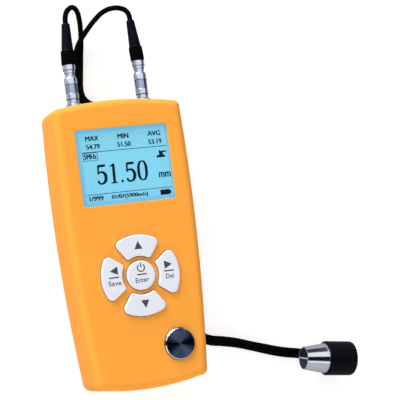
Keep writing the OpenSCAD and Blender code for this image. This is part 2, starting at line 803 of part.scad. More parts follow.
module boot(s) {
    c = 0.5;
    color(black) translate(boot_axis(s, 0)) rotate([-90, 0, s * boot_lean]) rotate_extrude() polygon([
        [0, 0], [boot_d / 2 - c, 0], [boot_d / 2, c], [boot_d / 2, boot_head - 2 * c],
        [boot_d / 2 - c, boot_head], [boot_tip_d / 2, boot_len], [0, boot_len]
    ]);
}

module plug_insulator(s) {
    color(pale) along_y(s * socket_x, core_y, socket_z) difference() {
        cylinder(r = plug_hole - slip, h = collet_y - core_y);
        translate([0, 0, -join]) cylinder(d = pin_d + 2 * slip, h = collet_y - core_y + 2 * join);
    }
}

module plug_pin(s) {
    color(brass) along_y(s * socket_x, core_y, socket_z) cylinder(d = pin_d, h = collet_y - core_y);
}

lead_sides = 8;

module lead_left() {
    color(black) tube(concat(left_drop, pair_strand(1)), lead_d, lead_sides);
}

module lead_right() {
    color(black) tube(concat(right_drop, pair_strand(-1)), lead_d, lead_sides);
}

// Places a piece of the probe: its axis runs from the measuring face to the cap
module on_probe() {
    translate([probe_x, probe_y, probe_z]) rotate([0, 0, probe_yaw]) rotate([0, 90, 0]) children();
}

delay_gap = 0.05;

module probe_nose() {
    c = 0.25;
    r = delay_d / 2 + delay_gap;
    depth = delay_len + crystal_t + 0.3;
    color(steel) on_probe() rotate_extrude() polygon([
        [r, 0], [nose_d0 / 2 - c, 0], [nose_d0 / 2, c], [nose_d1 / 2, nose_len], [spigot_d / 2, nose_len],
        [spigot_d / 2, nose_len + spigot_len], [0, nose_len + spigot_len], [0, depth], [r, depth]
    ]);
}

module probe_cap() {
    r = cap_d / 2;
    color(black) on_probe() translate([0, 0, nose_len]) rotate_extrude() polygon(concat(
        [[spigot_d / 2 + slip, 0], [r - cap_chamfer, 0], [r, cap_chamfer]],
        [for (a = [0 : 15 : 90]) [r - cap_round * (1 - cos(a)), cap_len - cap_round * (1 - sin(a))]],
        [[0, cap_len], [0, spigot_len + stack_gap], [spigot_d / 2 + slip, spigot_len + stack_gap]]
    ));
}

module probe_gland() {
    color(black) difference() {
        translate([probe_x, probe_y, gland_h / 2]) rotate([0, 0, probe_yaw]) translate([gland_along, 0, 0])
            rotate([90, 0, 90]) linear_extrude(gland_len) polygon(round_rect(gland_w, gland_h, gland_r, 4));
        on_probe() cylinder(d = cap_d + 2 * slip, h = nose_len + cap_len);
    }
}

// Half of a disc on one side of the sound barrier
module half_disc(s, h) {
    rotate([0, 0, barrier_turn]) intersection() {
        cylinder(d = delay_d, h = h);
        translate([-delay_d, s > 0 ? barrier_t / 2 + delay_gap : -delay_d - barrier_t / 2 - delay_gap, 0])
            cube([2 * delay_d, delay_d, h]);
    }
}

module delay_line(s) {
    color("#26324A") on_probe() half_disc(s, delay_len);
}

module crystal(s) {
    color(pale) on_probe() translate([0, 0, delay_len + delay_gap]) half_disc(s, crystal_t);
}

module sound_barrier() {
    color(pale) on_probe() rotate([0, 0, barrier_turn]) intersection() {
        cylinder(d = delay_d, h = delay_len + crystal_t);
        translate([-delay_d, -barrier_t / 2, 0]) cube([2 * delay_d, barrier_t, delay_len + crystal_t]);
    }
}

function cell_x(i) = (i - 1.5) * cell_pitch;
function cell_up(i) = i % 2 == 0;
nub_d = 3.8;
nub_t = 1;

module cell(i) {
    y0 = cell_up(i) ? bay_y0 + contact_t + spring_len : bay_y0 + contact_t + 0.1 + nub_t;
    color("#3C4250") translate([cell_x(i), 0, cell_z]) {
        along_y(0, y0, 0) cylinder(d = cell_d, h = cell_len - nub_t);
        along_y(0, cell_up(i) ? y0 + cell_len - nub_t - join : y0 - nub_t, 0) cylinder(d = nub_d, h = nub_t + join);
    }
}

// One spring for each cell, at its negative end
module battery_springs() {
    wire = 0.6;
    turns = 3;
    per_turn = 10;
    top_d = 4;
    foot_d = 7;
    free = spring_len - wire - 0.1;
    color(steel) for (i = [0 : 3])
        translate([cell_x(i), cell_up(i) ? bay_y0 + contact_t + wire / 2 : bay_y1 - contact_t - wire / 2, cell_z])
            rotate([cell_up(i) ? -90 : 90, 0, 0])
                tube([for (k = [0 : turns * per_turn])
                    let (u = k / (turns * per_turn), a = 360 * k / per_turn, r = (foot_d + (top_d - foot_d) * u) / 2)
                    [r * cos(a), r * sin(a), u * free]], wire, 5);
}

module battery_contacts() {
    plate = 8.6;
    color(brass) for (i = [0 : 3], y = [bay_y0, bay_y1 - contact_t])
        translate([cell_x(i) - plate / 2, y, cell_z - plate / 2]) cube([plate, contact_t, plate]);
}

module screw(d, head_d, head_t, len_all) {
    rotate_extrude() polygon([
        [0, 0], [head_d / 2, 0], [head_d / 2, head_t], [d / 2, head_t], [d / 2, len_all], [0, len_all]
    ]);
}

module case_screws() {
    color(steel) for (p = boss_points) translate([p.x, p.y, screw_sink])
        screw(screw_d, screw_head_d, screw_head_t, screw_tip - screw_sink);
}

module board_screws() {
    head_t = 1.3;
    color(steel) for (p = board_points) translate([p.x, p.y, board_bottom - head_t])
        screw(board_screw_d, 2 * board_screw_d, head_t, head_t + board_screw_len);
}

front_shell();
rear_cover();
battery_door();
window_lens();
lcd_panel();
backlight();
main_board();
wireless_module();
tact_switches();
test_block();
color(key_white) fan_key(0);  // key_up
color(key_white) fan_key(90);  // key_left
color(key_white) fan_key(180);  // key_down
color(key_white) fan_key(270);  // key_right
color(key_white) round_key();  // key_enter
plunger(0);  // plunger_enter
plunger(1);  // plunger_up
plunger(2);  // plunger_left
plunger(3);  // plunger_down
plunger(4);  // plunger_right
socket(-1);  // socket_left
socket(1);  // socket_right
socket_nut(-1);  // socket_nut_left
socket_nut(1);  // socket_nut_right
socket_insulator(-1);  // socket_insulator_left
socket_insulator(1);  // socket_insulator_right
socket_contact(-1);  // socket_contact_left
socket_contact(1);  // socket_contact_right
plug_core(-1);  // plug_core_left
plug_core(1);  // plug_core_right
release_sleeve(-1);  // release_sleeve_left
release_sleeve(1);  // release_sleeve_right
collet_nut(-1);  // collet_nut_left
collet_nut(1);  // collet_nut_right
boot(-1);  // boot_left
boot(1);  // boot_right
plug_insulator(-1);  // plug_insulator_left
plug_insulator(1);  // plug_insulator_right
plug_pin(-1);  // plug_pin_left
plug_pin(1);  // plug_pin_right
lead_left();
lead_right();
probe_nose();
probe_cap();
probe_gland();
delay_line(1);  // delay_line_send
delay_line(-1);  // delay_line_receive
sound_barrier();
crystal(1);  // crystal_send
crystal(-1);  // crystal_receive
cell(0);  // cell_1
cell(1);  // cell_2
cell(2);  // cell_3
cell(3);  // cell_4
battery_springs();
battery_contacts();
case_screws();
board_screws();
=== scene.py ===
"""Looks of a hand-held ultrasonic thickness gauge with its twin leads and dual-element probe.

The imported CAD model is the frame. Sizes in the classes are millimetres in the CAD's own frame:
the origin is the middle of the back face, +Y points to the sockets and +Z out of the face.
"""

import logging
import math
from collections.abc import Callable, Iterator, Sequence
from contextlib import contextmanager
from dataclasses import dataclass, field
from enum import Enum

import bmesh
import bpy
from mathutils import Matrix, Vector


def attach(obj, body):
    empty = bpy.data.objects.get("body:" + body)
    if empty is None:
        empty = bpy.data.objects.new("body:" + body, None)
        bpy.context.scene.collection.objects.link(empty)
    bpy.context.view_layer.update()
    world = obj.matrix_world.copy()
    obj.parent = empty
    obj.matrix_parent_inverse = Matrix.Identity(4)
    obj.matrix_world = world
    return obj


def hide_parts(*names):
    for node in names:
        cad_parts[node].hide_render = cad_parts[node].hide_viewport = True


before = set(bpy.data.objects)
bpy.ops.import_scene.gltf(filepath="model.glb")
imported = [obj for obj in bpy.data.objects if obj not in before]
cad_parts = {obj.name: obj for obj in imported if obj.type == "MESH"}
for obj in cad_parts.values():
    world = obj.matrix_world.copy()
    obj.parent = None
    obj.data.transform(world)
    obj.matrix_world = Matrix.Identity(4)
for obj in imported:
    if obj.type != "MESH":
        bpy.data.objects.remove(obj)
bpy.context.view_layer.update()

MM = 0.001
log = logging.getLogger("gauge")

Point = tuple[float, float, float]
Flat = tuple[float, float]
Corners = tuple[float, float, float, float]
Piece = bpy.types.Object
Tree = bpy.types.NodeTree
Socket = bpy.types.NodeSocket
Test = Callable[[Vector], bool]

# Places that more than one class needs: the right boot's base, length and lean, the probe's face and turn,
# and the middle of the zero block
BOOT_BASE: Point = (18.2, 93.03, 16.2)
BOOT_LEN = 21.3
BOOT_LEAN = math.radians(3.3)
PROBE_FACE: Point = (88.3, -70.6, 11.9)
PROBE_YAW = math.radians(-8.8)
BLOCK_CENTRE: Point = (15.2, -51.9, 32.0)
# Points closer than this are one point, and edges within this of a height lie at that height
SAME = 0.001
LEVEL = 0.01
# Edges sharper than this many degrees are rounded
SHARP = 40.0
# Spacing of a Wave texture's rings at a scale of one
WAVE_PERIOD = 0.314


def linear(code: str) -> tuple[float, float, float, float]:
    """Turn an sRGB hex colour to linear RGBA.

    Args:
        code: The colour as "#RRGGBB".

    Returns:
        Red, green, blue and an alpha of one.
    """
    parts = [int(code[i:i + 2], 16) / 255 for i in (1, 3, 5)]
    red, green, blue = (c / 12.92 if c <= 0.04045 else ((c + 0.055) / 1.055) ** 2.4 for c in parts)
    return red, green, blue, 1.0


def add_node(tree: Tree, kind: str, inputs: dict | None = None, **settings: object) -> bpy.types.Node:
    """Add a shader node with its settings, values and links.

    Args:
        tree: The node tree.
        kind: The node's type, without "ShaderNode".
        inputs: Socket name or index to a value, or to an output socket that feeds it.
        **settings: The node's own properties.

    Returns:
        The new node.
    """
    node = tree.nodes.new("ShaderNode" + kind)
    for name, value in settings.items():
        setattr(node, name, value)
    for name, value in (inputs or {}).items():
        if isinstance(value, Socket):
            tree.links.new(value, node.inputs[name])
        else:
            node.inputs[name].default_value = value
    return node


def empty_tree(owner: bpy.types.Material | bpy.types.World) -> Tree:
    """Give a material or a world a node tree with nothing in it.

    Args:
        owner: The material or world.

    Returns:
        Its empty tree.
    """
    owner.use_nodes = True
    owner.node_tree.nodes.clear()
    return owner.node_tree


def only(obj: Piece) -> None:
    """Select this object and nothing else."""
    bpy.ops.object.select_all(action="DESELECT")
    obj.select_set(True)
    bpy.context.view_layer.objects.active = obj


@contextmanager
def editing(obj: Piece, kind: str = "VERT") -> Iterator[None]:
    """Hold an object in edit mode with everything selected.

    Args:
        obj: The mesh object.
        kind: What is selected: VERT, EDGE or FACE.
    """
    only(obj)
    bpy.ops.object.mode_set(mode="EDIT")
    bpy.ops.mesh.select_mode(type=kind)
    bpy.ops.mesh.select_all(action="SELECT")
    yield
    bpy.ops.object.mode_set(mode="OBJECT")


def new_primitive(name: str) -> Piece:
    """Add a small plane at the origin to start a piece from.

    Args:
        name: The piece's name.

    Returns:
        The plane, selected.
    """
    bpy.ops.object.select_all(action="DESELECT")
    bpy.ops.mesh.primitive_plane_add(size=MM)
    obj = bpy.context.object
    obj.name = obj.data.name = name
    return obj


def draw_line(points: Sequence[Vector]) -> None:
    """In edit mode, draw the selected plane down to a point and extrude it along a line.

    Args:
        points: The line's points in metres.
    """
    bpy.ops.mesh.merge(type="CENTER")
    bpy.ops.transform.translate(value=points[0])
    for a, b in zip(points, points[1:]):
        bpy.ops.mesh.extrude_vertices_move(TRANSFORM_OT_translate={"value": b - a})
    bpy.ops.mesh.select_all(action="SELECT")


def close_up() -> None:
    """In edit mode, merge doubles and turn all faces outwards."""
    bpy.ops.mesh.select_all(action="SELECT")
    bpy.ops.mesh.remove_doubles(threshold=2 * SAME * MM)
    bpy.ops.mesh.normals_make_consistent(inside=False)


def lathe(name: str, profile: Sequence[Flat], origin: Point, axis: Point, steps: int = 72) -> Piece:
    """Turn a piece on a lathe.

    Args:
        name: The piece's name.
        profile: Radius and distance along the axis, in order.
        origin: Where the axis starts.
        axis: Direction of the axis, of length one.
        steps: Facets round the piece.

    Returns:
        The turned piece.
    """
    line = Vector(axis)
    start = Vector(origin) * MM
    side = line.orthogonal().normalized()
    obj = new_primitive(name)
    with editing(obj):
        draw_line([start + (side * r + line * a) * MM for r, a in profile])
        bpy.ops.mesh.spin(steps=steps, angle=math.tau, center=start, axis=line)
        close_up()
    return obj


def flat_shape(name: str, outline: Sequence[Flat], z: float, thick: float) -> Piece:
    """Cut a flat shape from a thin sheet.

    Args:
        name: The piece's name.
        outline: Its corners, in order.
        z: Height of its underside.
        thick: Thickness of the sheet.

    Returns:
        The closed shape.
    """
    obj = new_primitive(name)
    with editing(obj):
        draw_line([Vector((x, y, z)) * MM for x, y in outline])
        bpy.ops.mesh.edge_face_add()
        bpy.ops.mesh.extrude_region_move(TRANSFORM_OT_translate={"value": (0, 0, thick * MM)})
        close_up()
    return obj


def lettering(words: str, centre: Flat, size: Flat, z: float, thick: float, bold: float = 0.0) -> Piece:
    """Print words in the built-in letters.

    Args:
        words: What is printed.
        centre: Middle of the words.
        size: Width and height that they fill.
        z: Height of their underside.
        thick: Thickness of the print.
        bold: How far the strokes are thickened, as a share of the letter size.

    Returns:
        The words as a mesh.
    """
    bpy.ops.object.select_all(action="DESELECT")
    bpy.ops.object.text_add()
    obj = bpy.context.object
    obj.data.body = words
    obj.data.offset = bold
    obj.data.resolution_u = 4
    obj.data.extrude = 0.5
    bpy.ops.object.convert(target="MESH")
    corners = [v.co for v in obj.data.vertices]
    low = [min(c[i] for c in corners) for i in range(3)]
    high = [max(c[i] for c in corners) for i in range(3)]
    target = ((centre[0], size[0]), (centre[1], size[1]), (z + thick / 2, thick))
    for i, (middle, wide) in enumerate(target):
        scale = wide * MM / (high[i] - low[i])
        obj.scale[i] = scale
        obj.location[i] = middle * MM - scale * (high[i] + low[i]) / 2
    bpy.ops.object.transform_apply(location=True, rotation=True, scale=True)
    return obj


def join(name: str, pieces: Sequence[Piece]) -> Piece:
    """Join pieces to one object.

    Args:
        name: The joined piece's name.
        pieces: What is joined, at least one.

    Returns:
        The first piece, with the others in it.
    """
    only(pieces[0])
    for piece in pieces:
        piece.select_set(True)
    if len(pieces) > 1:
        bpy.ops.object.join()
    pieces[0].name = pieces[0].data.name = name
    return pieces[0]


def copy_of(node: str, name: str) -> Piece:
    """Copy a CAD node to a new object and merge its loose triangles.

    Args:
        node: The CAD node.
        name: The new piece's name.

    Returns:
        The copy, closed and with its flats cleared of inner edges.
    """
    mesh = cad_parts[node].data.copy()
    mesh.name = name
    mesh.materials.clear()
    obj = bpy.data.objects.new(name, mesh)
    bpy.context.scene.collection.objects.link(obj)
    only(obj)
    bpy.ops.mesh.customdata_custom_splitnormals_clear()
    with editing(obj):
        bpy.ops.mesh.remove_doubles(threshold=SAME * MM)
        bpy.ops.mesh.dissolve_limited(angle_limit=math.radians(0.05))
    return obj


def at_height(z: float) -> Test:
    """A test that picks what lies at one height."""
    return lambda middle: abs(middle.z - z) < LEVEL


def soften(obj: Piece, width: float, test: Test, segments: int = 2) -> None:
    """Round the sharp edges of a piece at the places that a test picks.

    Args:
        obj: The piece.
        width: Width of the round.
        test: Takes the middle of an edge in millimetres, and says if it is rounded.
        segments: Faces across the round.
    """
    with editing(obj, "EDGE"):
        bpy.ops.mesh.select_all(action="DESELECT")
        mesh = bmesh.from_edit_mesh(obj.data)
        for edge in mesh.edges:
            middle = (edge.verts[0].co + edge.verts[1].co) / (2 * MM)
            sharp = len(edge.link_faces) == 2 and edge.calc_face_angle() > math.radians(SHARP)
            edge.select_set(sharp and test(middle))
        bmesh.update_edit_mesh(obj.data)
        bpy.ops.mesh.bevel(offset=width * MM, segments=segments, affect="EDGES", clamp_overlap=True)
        bpy.ops.mesh.select_all(action="SELECT")
        bpy.ops.mesh.remove_doubles(threshold=SAME * MM)
        bpy.ops.mesh.dissolve_degenerate(threshold=SAME * MM)


def shade(obj: Piece, angle: float = 32.0) -> Piece:
    """Shade a piece smoothly up to an angle, with its flats kept flat.

    Args:
        obj: The piece.
        angle: Edges sharper than this many degrees stay sharp.

    Returns:
        The same piece.
    """
    only(obj)
    bpy.ops.object.shade_smooth_by_angle(angle=math.radians(angle))
    even = obj.modifiers.new("even_shading", "WEIGHTED_NORMAL")
    even.keep_sharp = True
    even.weight = 70
    bpy.ops.object.modifier_apply(modifier=even.name)
    return obj


def cut(obj: Piece, cutter: Piece) -> None:
    """Cut one closed piece out of another.

    Args:
        obj: The piece that is cut.
        cutter: The shape that is taken out of it, and then removed.
    """
    only(obj)
    tool = obj.modifiers.new("cut", "BOOLEAN")
    tool.object = cutter
    tool.solver = "EXACT"
    bpy.ops.object.modifier_apply(modifier=tool.name)
    bpy.data.objects.remove(cutter)


class Slot(Enum):
    """Material slots of the record."""

    HOUSING = "housing_orange"
    KEY = "key_white"
    WINDOW = "window"
    DISPLAY = "display"
    PALE = "pale_plastic"
    BOARD = "board"
    BLACK = "black_plastic"
    RUBBER = "black_rubber"
    TURNED = "turned_steel"
    PLATED = "plated_metal"
    BRASS = "brass"
    DELAY = "delay_plastic"
    CERAMIC = "ceramic"
    CELL = "cell"
    SPRING = "spring_steel"


class Side(Enum):
    """The two plugs, by their sign along X."""

    LEFT = -1
    RIGHT = 1

    @property
    def word(self) -> str:
        """Name of the side as the CAD nodes have it."""
        return self.name.lower()


@dataclass(frozen=True)
class Finish:
    """One material and how its surface was made.

    Tone, gloss and grain come from noise in Object coordinates at real sizes.
    """

    name: str
    colour: str
    roughness: float
    metallic: float = 0.0
    ior: float = 1.5
    specular: float = 0.5
    mottle: float = 0.05
    mottle_mm: float = 9.0
    gloss_spread: float = 0.05
    grain_mm: float = 0.3
    grain_depth: float = 0.003
    stretch: Point = (1.0, 1.0, 1.0)
    centre: Point = (0.0, 0.0, 0.0)
    alpha: float = 1.0
    glow: float = 0.0
    anisotropy: float = 0.0
    lay_turn: float = 0.0

    def build(self) -> bpy.types.Material:
        """Make the material once, and give it again when it is asked for again.

        Returns:
            The material.
        """
        made = bpy.data.materials.get(self.name)
        if made:
            return made
        material = bpy.data.materials.new(self.name)
        tree = empty_tree(material)
        place = add_node(tree, "TexCoord").outputs["Object"]
        place = add_node(tree, "Mapping", {
            "Vector": place, "Location": [-c * MM for c in self.centre]}).outputs["Vector"]
        shader = add_node(tree, "BsdfPrincipled", {
            "Base Color": self.tone(tree, place), "Roughness": self.gloss(tree, place),
            "Normal": self.relief(tree, place), "Metallic": self.metallic, "IOR": self.ior,
            "Alpha": self.alpha, "Anisotropic": self.anisotropy, "Anisotropic Rotation": self.lay_turn,
            "Specular IOR Level": self.specular,
        })
        if self.glow:
            tree.links.new(shader.inputs["Base Color"].links[0].from_socket, shader.inputs["Emission Color"])
            shader.inputs["Emission Strength"].default_value = self.glow
        if self.anisotropy:
            around = add_node(tree, "Tangent", direction_type="RADIAL", axis="Z")
            tree.links.new(around.outputs["Tangent"], shader.inputs["Tangent"])
        add_node(tree, "OutputMaterial", {"Surface": shader.outputs["BSDF"]})
        return material

    def noise(self, tree: Tree, place: Socket, size: float, detail: float = 3.0) -> Socket:
        """Noise whose blotches are about one size across.

        Args:
            tree: The material's tree.
            place: Coordinates in metres.
            size: Size of the blotches in millimetres.
            detail: Octaves of finer noise.

        Returns:
            A factor about one half.
        """
        spread = add_node(tree, "Mapping", {"Vector": place, "Scale": self.stretch})
        return add_node(tree, "TexNoise", {
            "Vector": spread.outputs["Vector"], "Scale": 1 / (size * MM), "Detail": detail}).outputs["Fac"]

    def tone(self, tree: Tree, place: Socket) -> Socket:
        """Base colour, a little lighter and darker in slow blotches.

        Args:
            tree: The material's tree.
            place: Coordinates in metres.

        Returns:
            The colour.
        """
        ramp = add_node(tree, "ValToRGB", {"Fac": self.noise(tree, place, self.mottle_mm)})
        colour = linear(self.colour)
        for element, share, stop in zip(ramp.color_ramp.elements, (-self.mottle, self.mottle), (0.3, 0.7)):
            element.position = stop
            element.color = [min(1.0, c * (1 + share)) for c in colour[:3]] + [1.0]
        return ramp.outputs["Color"]

    def gloss(self, tree: Tree, place: Socket) -> Socket:
        """Roughness, uneven as handling leaves it.

        Args:
            tree: The material's tree.
            place: Coordinates in metres.

        Returns:
            The roughness.
        """
        return add_node(tree, "MapRange", {
            "Value": self.noise(tree, place, self.mottle_mm / 3),
            "To Min": max(0.02, self.roughness - self.gloss_spread),
            "To Max": self.roughness + self.gloss_spread}).outputs["Result"]

    def relief(self, tree: Tree, place: Socket) -> Socket:
        """Fine grain of the surface as a bump.

        Args:
            tree: The material's tree.
            place: Coordinates in metres.

        Returns:
            The normal.
        """
        return add_node(tree, "Bump", {
            "Height": self.noise(tree, place, self.grain_mm, 2.0), "Strength": 1.0,
            "Distance": self.grain_depth * MM}).outputs["Normal"]


@dataclass(frozen=True)
class LcdGlass(Finish):
    """Glass of the display: a bright field of square cells inside a darker frame."""

    frame_colour: str = "#5488A1"
    field_half: Flat = (22.1, 17.0)
    cell_mm: float = 0.34
    gap_share: float = 1 / 14
    edge_soft: float = 0.25

    def tone(self, tree: Tree, place: Socket) -> Socket:
        """Bright cells in the field, plain frame round it.

        Args:
            tree: The material's tree.
            place: Coordinates in metres from the field's middle.

        Returns:
            The colour.
        """
        ground = super().tone(tree, place)
        cells = add_node(tree, "TexBrick", {
            "Vector": place, "Color1": (1, 1, 1, 1), "Color2": (0.99, 0.99, 0.99, 1),
            "Mortar": (0.93, 0.95, 0.96, 1), "Mortar Size": self.cell_mm * MM * self.gap_share,
            "Mortar Smooth": 0.3, "Scale": 1.0,
            "Brick Width": self.cell_mm * MM, "Row Height": self.cell_mm * MM}, offset=0.0)
        field_tone = add_node(tree, "Mix", {0: 1.0, 6: ground, 7: cells.outputs["Color"]},
                              data_type="RGBA", blend_type="MULTIPLY")
        parts = add_node(tree, "SeparateXYZ", {"Vector": place})
        inside = None
        for axis, half in zip("XY", self.field_half):
            size = add_node(tree, "Math", {0: parts.outputs[axis]}, operation="ABSOLUTE")
            edge = add_node(tree, "MapRange", {
                "Value": size.outputs[0], "From Min": (half - self.edge_soft) * MM,
                "From Max": (half + self.edge_soft) * MM, "To Min": 1.0, "To Max": 0.0}).outputs["Result"]
            inside = edge if inside is None else add_node(
                tree, "Math", {0: inside, 1: edge}, operation="MULTIPLY").outputs[0]
        return add_node(tree, "Mix", {0: inside, 6: linear(self.frame_colour), 7: field_tone.outputs[2]},
                        data_type="RGBA").outputs[2]


@dataclass(frozen=True)
class RingTurned(Finish):
    """A face turned on a lathe, with fine rings about its middle."""

    ring_mm: float = 0.22

    def relief(self, tree: Tree, place: Socket) -> Socket:
        """Rings of the cutting tool as a bump.

        Args:
            tree: The material's tree.
            place: Coordinates in metres from the middle of the rings.

        Returns:
            The normal.
        """
        rings = add_node(tree, "TexWave", {
            "Vector": place, "Scale": WAVE_PERIOD / (self.ring_mm * MM), "Distortion": 0.4, "Detail": 1.0},
            wave_type="RINGS", rings_direction="Z")
        return add_node(tree, "Bump", {
            "Height": rings.outputs["Fac"], "Strength": 1.0,
            "Distance": self.grain_depth * MM}).outputs["Normal"]


# Moulded ABS with a spark-eroded mould face: satin, even colour, faint grain
ABS_ORANGE = Finish("moulded_orange_abs", "#FEA741", 0.42, specular=0.045, mottle=0.012, mottle_mm=30,
                    grain_mm=0.35, grain_depth=0.002)
# Moulded key caps: smoother and cooler than the housing
KEY_WHITE = Finish("moulded_white_abs", "#E6E9F3", 0.36, mottle=0.012, mottle_mm=12, grain_depth=0.002)
# Hard-coated acrylic lens: nearly clear, so that the display shows through
ACRYLIC = Finish("hard_coated_acrylic", "#1E4250", 0.05, ior=1.49, specular=0.1, mottle=0.0,
                 gloss_spread=0.01, grain_depth=0.0, alpha=0.03)
# Liquid crystal glass over a blue-white backlight
LCD = LcdGlass("lcd_glass", "#5992A6", 0.3, specular=0.1, mottle=0.015, mottle_mm=14, grain_depth=0.0,
               glow=1.58, centre=(0.9, 38.6, 0.0))
# Dark segments of the display
LCD_INK = Finish("lcd_dark_segment", "#04202B", 0.4, specular=0.02, mottle=0.05, mottle_mm=2, grain_depth=0.0)
# Pad-printed ink on the keys
PRINT_INK = Finish("pad_print_ink", "#3C4148", 0.5, mottle=0.06, mottle_mm=1.5, grain_mm=0.1,
                   grain_depth=0.002)
# Natural nylon and acetal
NYLON = Finish("natural_nylon", "#EDEBE4", 0.5, mottle=0.03)
# Epoxy glass board under green solder mask
SOLDER_MASK = Finish("green_solder_mask", "#1F6B45", 0.35, mottle=0.12, mottle_mm=3, grain_mm=0.6,
                     grain_depth=0.01)
# Acetal cap with a fine turned face: near black, soft sheen
BLACK_ACETAL = Finish("black_acetal", "#06080F", 0.42, specular=0.06, mottle=0.12, mottle_mm=5, grain_mm=0.25,
                      grain_depth=0.005)
# Jacket of the leads: dull black
JACKET = Finish("black_lead_jacket", "#06080A", 0.6, specular=0.01, mottle=0.15, mottle_mm=4, grain_mm=0.3,
                grain_depth=0.004)
# Thermoplastic rubber of the boots and the gland: near black, painted lighter and bluer than the jacket as a
# painted sheen, the light that the boots' taper catches
RUBBER_PAINTED_SHEEN = Finish("rubber_painted_sheen", "#0B0D1A", 0.34, specular=0.04, mottle=0.15, mottle_mm=4,
                      gloss_spread=0.07, grain_mm=0.3, grain_depth=0.006)
# Steel block, faced on a lathe: rings spread its highlight to an hourglass. Its colour is painted a dark
# blue-grey, far darker than steel: a painted dark reflection
STEEL_PAINTED_DARK = RingTurned("faced_steel_painted_dark", "#617594", 0.25, metallic=1.0, mottle=0.03, grain_depth=0.004,
                          centre=BLOCK_CENTRE, anisotropy=1.0, lay_turn=0.25)
# Brass plugs under satin chrome: fine turning lines round their axis
SATIN_CHROME = Finish("satin_chrome_plate", "#DAE5FA", 0.24, metallic=1.0, mottle=0.04, mottle_mm=3,
                      grain_mm=0.3, grain_depth=0.004, stretch=(0.2, 4.0, 0.2))
# The knurl is painted darker than the smooth plate: painted shade of its valleys
KNURL_PAINTED_SHADE = Finish("knurled_chrome_painted_shade", "#B7C4E2", 0.3, metallic=1.0, mottle=0.1, mottle_mm=1.2,
                 grain_mm=0.15, grain_depth=0.006)
# Polished chrome of the probe's nose: crisp bright and dark bands. On the block's chamfer its pale colour is
# a painted highlight on the steel
POLISHED = Finish("polished_chrome_plate", "#DDE2EC", 0.14, metallic=1.0, mottle=0.02, mottle_mm=4,
                  gloss_spread=0.02, grain_mm=0.8, grain_depth=0.0015)
# Steps that face the housing: painted shade, for the shade in the gaps between the parts
STEP_SHADE_PAINT = Finish("painted_shade_on_steps", "#343B49", 0.5, specular=0.15, mottle=0.1, mottle_mm=1.0)
BRASS = Finish("turned_brass", "#C9A24B", 0.3, metallic=1.0, mottle=0.06, mottle_mm=2)
# Cast resin delay lines, lapped flat: dark blue-grey with fine scratches
RESIN = Finish("lapped_delay_resin", "#161C2C", 0.4, ior=1.55, specular=0.2, mottle=0.25, mottle_mm=0.9,
               grain_mm=0.12, grain_depth=0.006)
CORK = Finish("pale_barrier_film", "#B4BCCF", 0.6, mottle=0.08, mottle_mm=0.5)
CERAMIC = Finish("lapped_piezo_ceramic", "#DBD9CC", 0.45, mottle=0.05)
CELL_WRAP = Finish("printed_cell_wrap", "#3C4250", 0.3, mottle=0.08, mottle_mm=6)
# Zinc-plated steel of screws, springs and shields
ZINC = Finish("zinc_plated_steel", "#B4B8BF", 0.32, metallic=1.0, mottle=0.08, mottle_mm=2, grain_mm=0.2)


def dress(obj: Piece, finish: Finish) -> Piece:
    """Give a piece or a CAD node one finish all over.

    Args:
        obj: The piece.
        finish: Its finish.

    Returns:
        The same piece.
    """
    obj.data.materials.clear()
    obj.data.materials.append(finish.build())
    return obj


def refinish(obj: Piece, finish: Finish, test: Callable[[bpy.types.MeshPolygon], bool]) -> None:
    """Give another finish to some faces of a dressed piece.

    Args:
        obj: The piece.
        finish: The other finish.
        test: Takes a face, and says if it gets that finish.
    """
    obj.data.materials.append(finish.build())
    for face in obj.data.polygons:
        if test(face):
            face.material_index = len(obj.data.materials) - 1


def fit(obj: Piece, finish: Finish, slot: Slot, body: str = "root", *nodes: str) -> Piece:
    """Dress a finished piece and tie it to the frame.

    Args:
        obj: The piece, in place.
        finish: Its finish.
        slot: The record's slot for that finish; not used.
        body: The body it rides on.
        *nodes: CAD nodes that it stands for.

    Returns:
        The same piece.
    """
    dress(obj, finish)
    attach(obj, body)
    if nodes:
        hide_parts(*nodes)
    log.info("piece %s on %s", obj.name, body)
    return obj


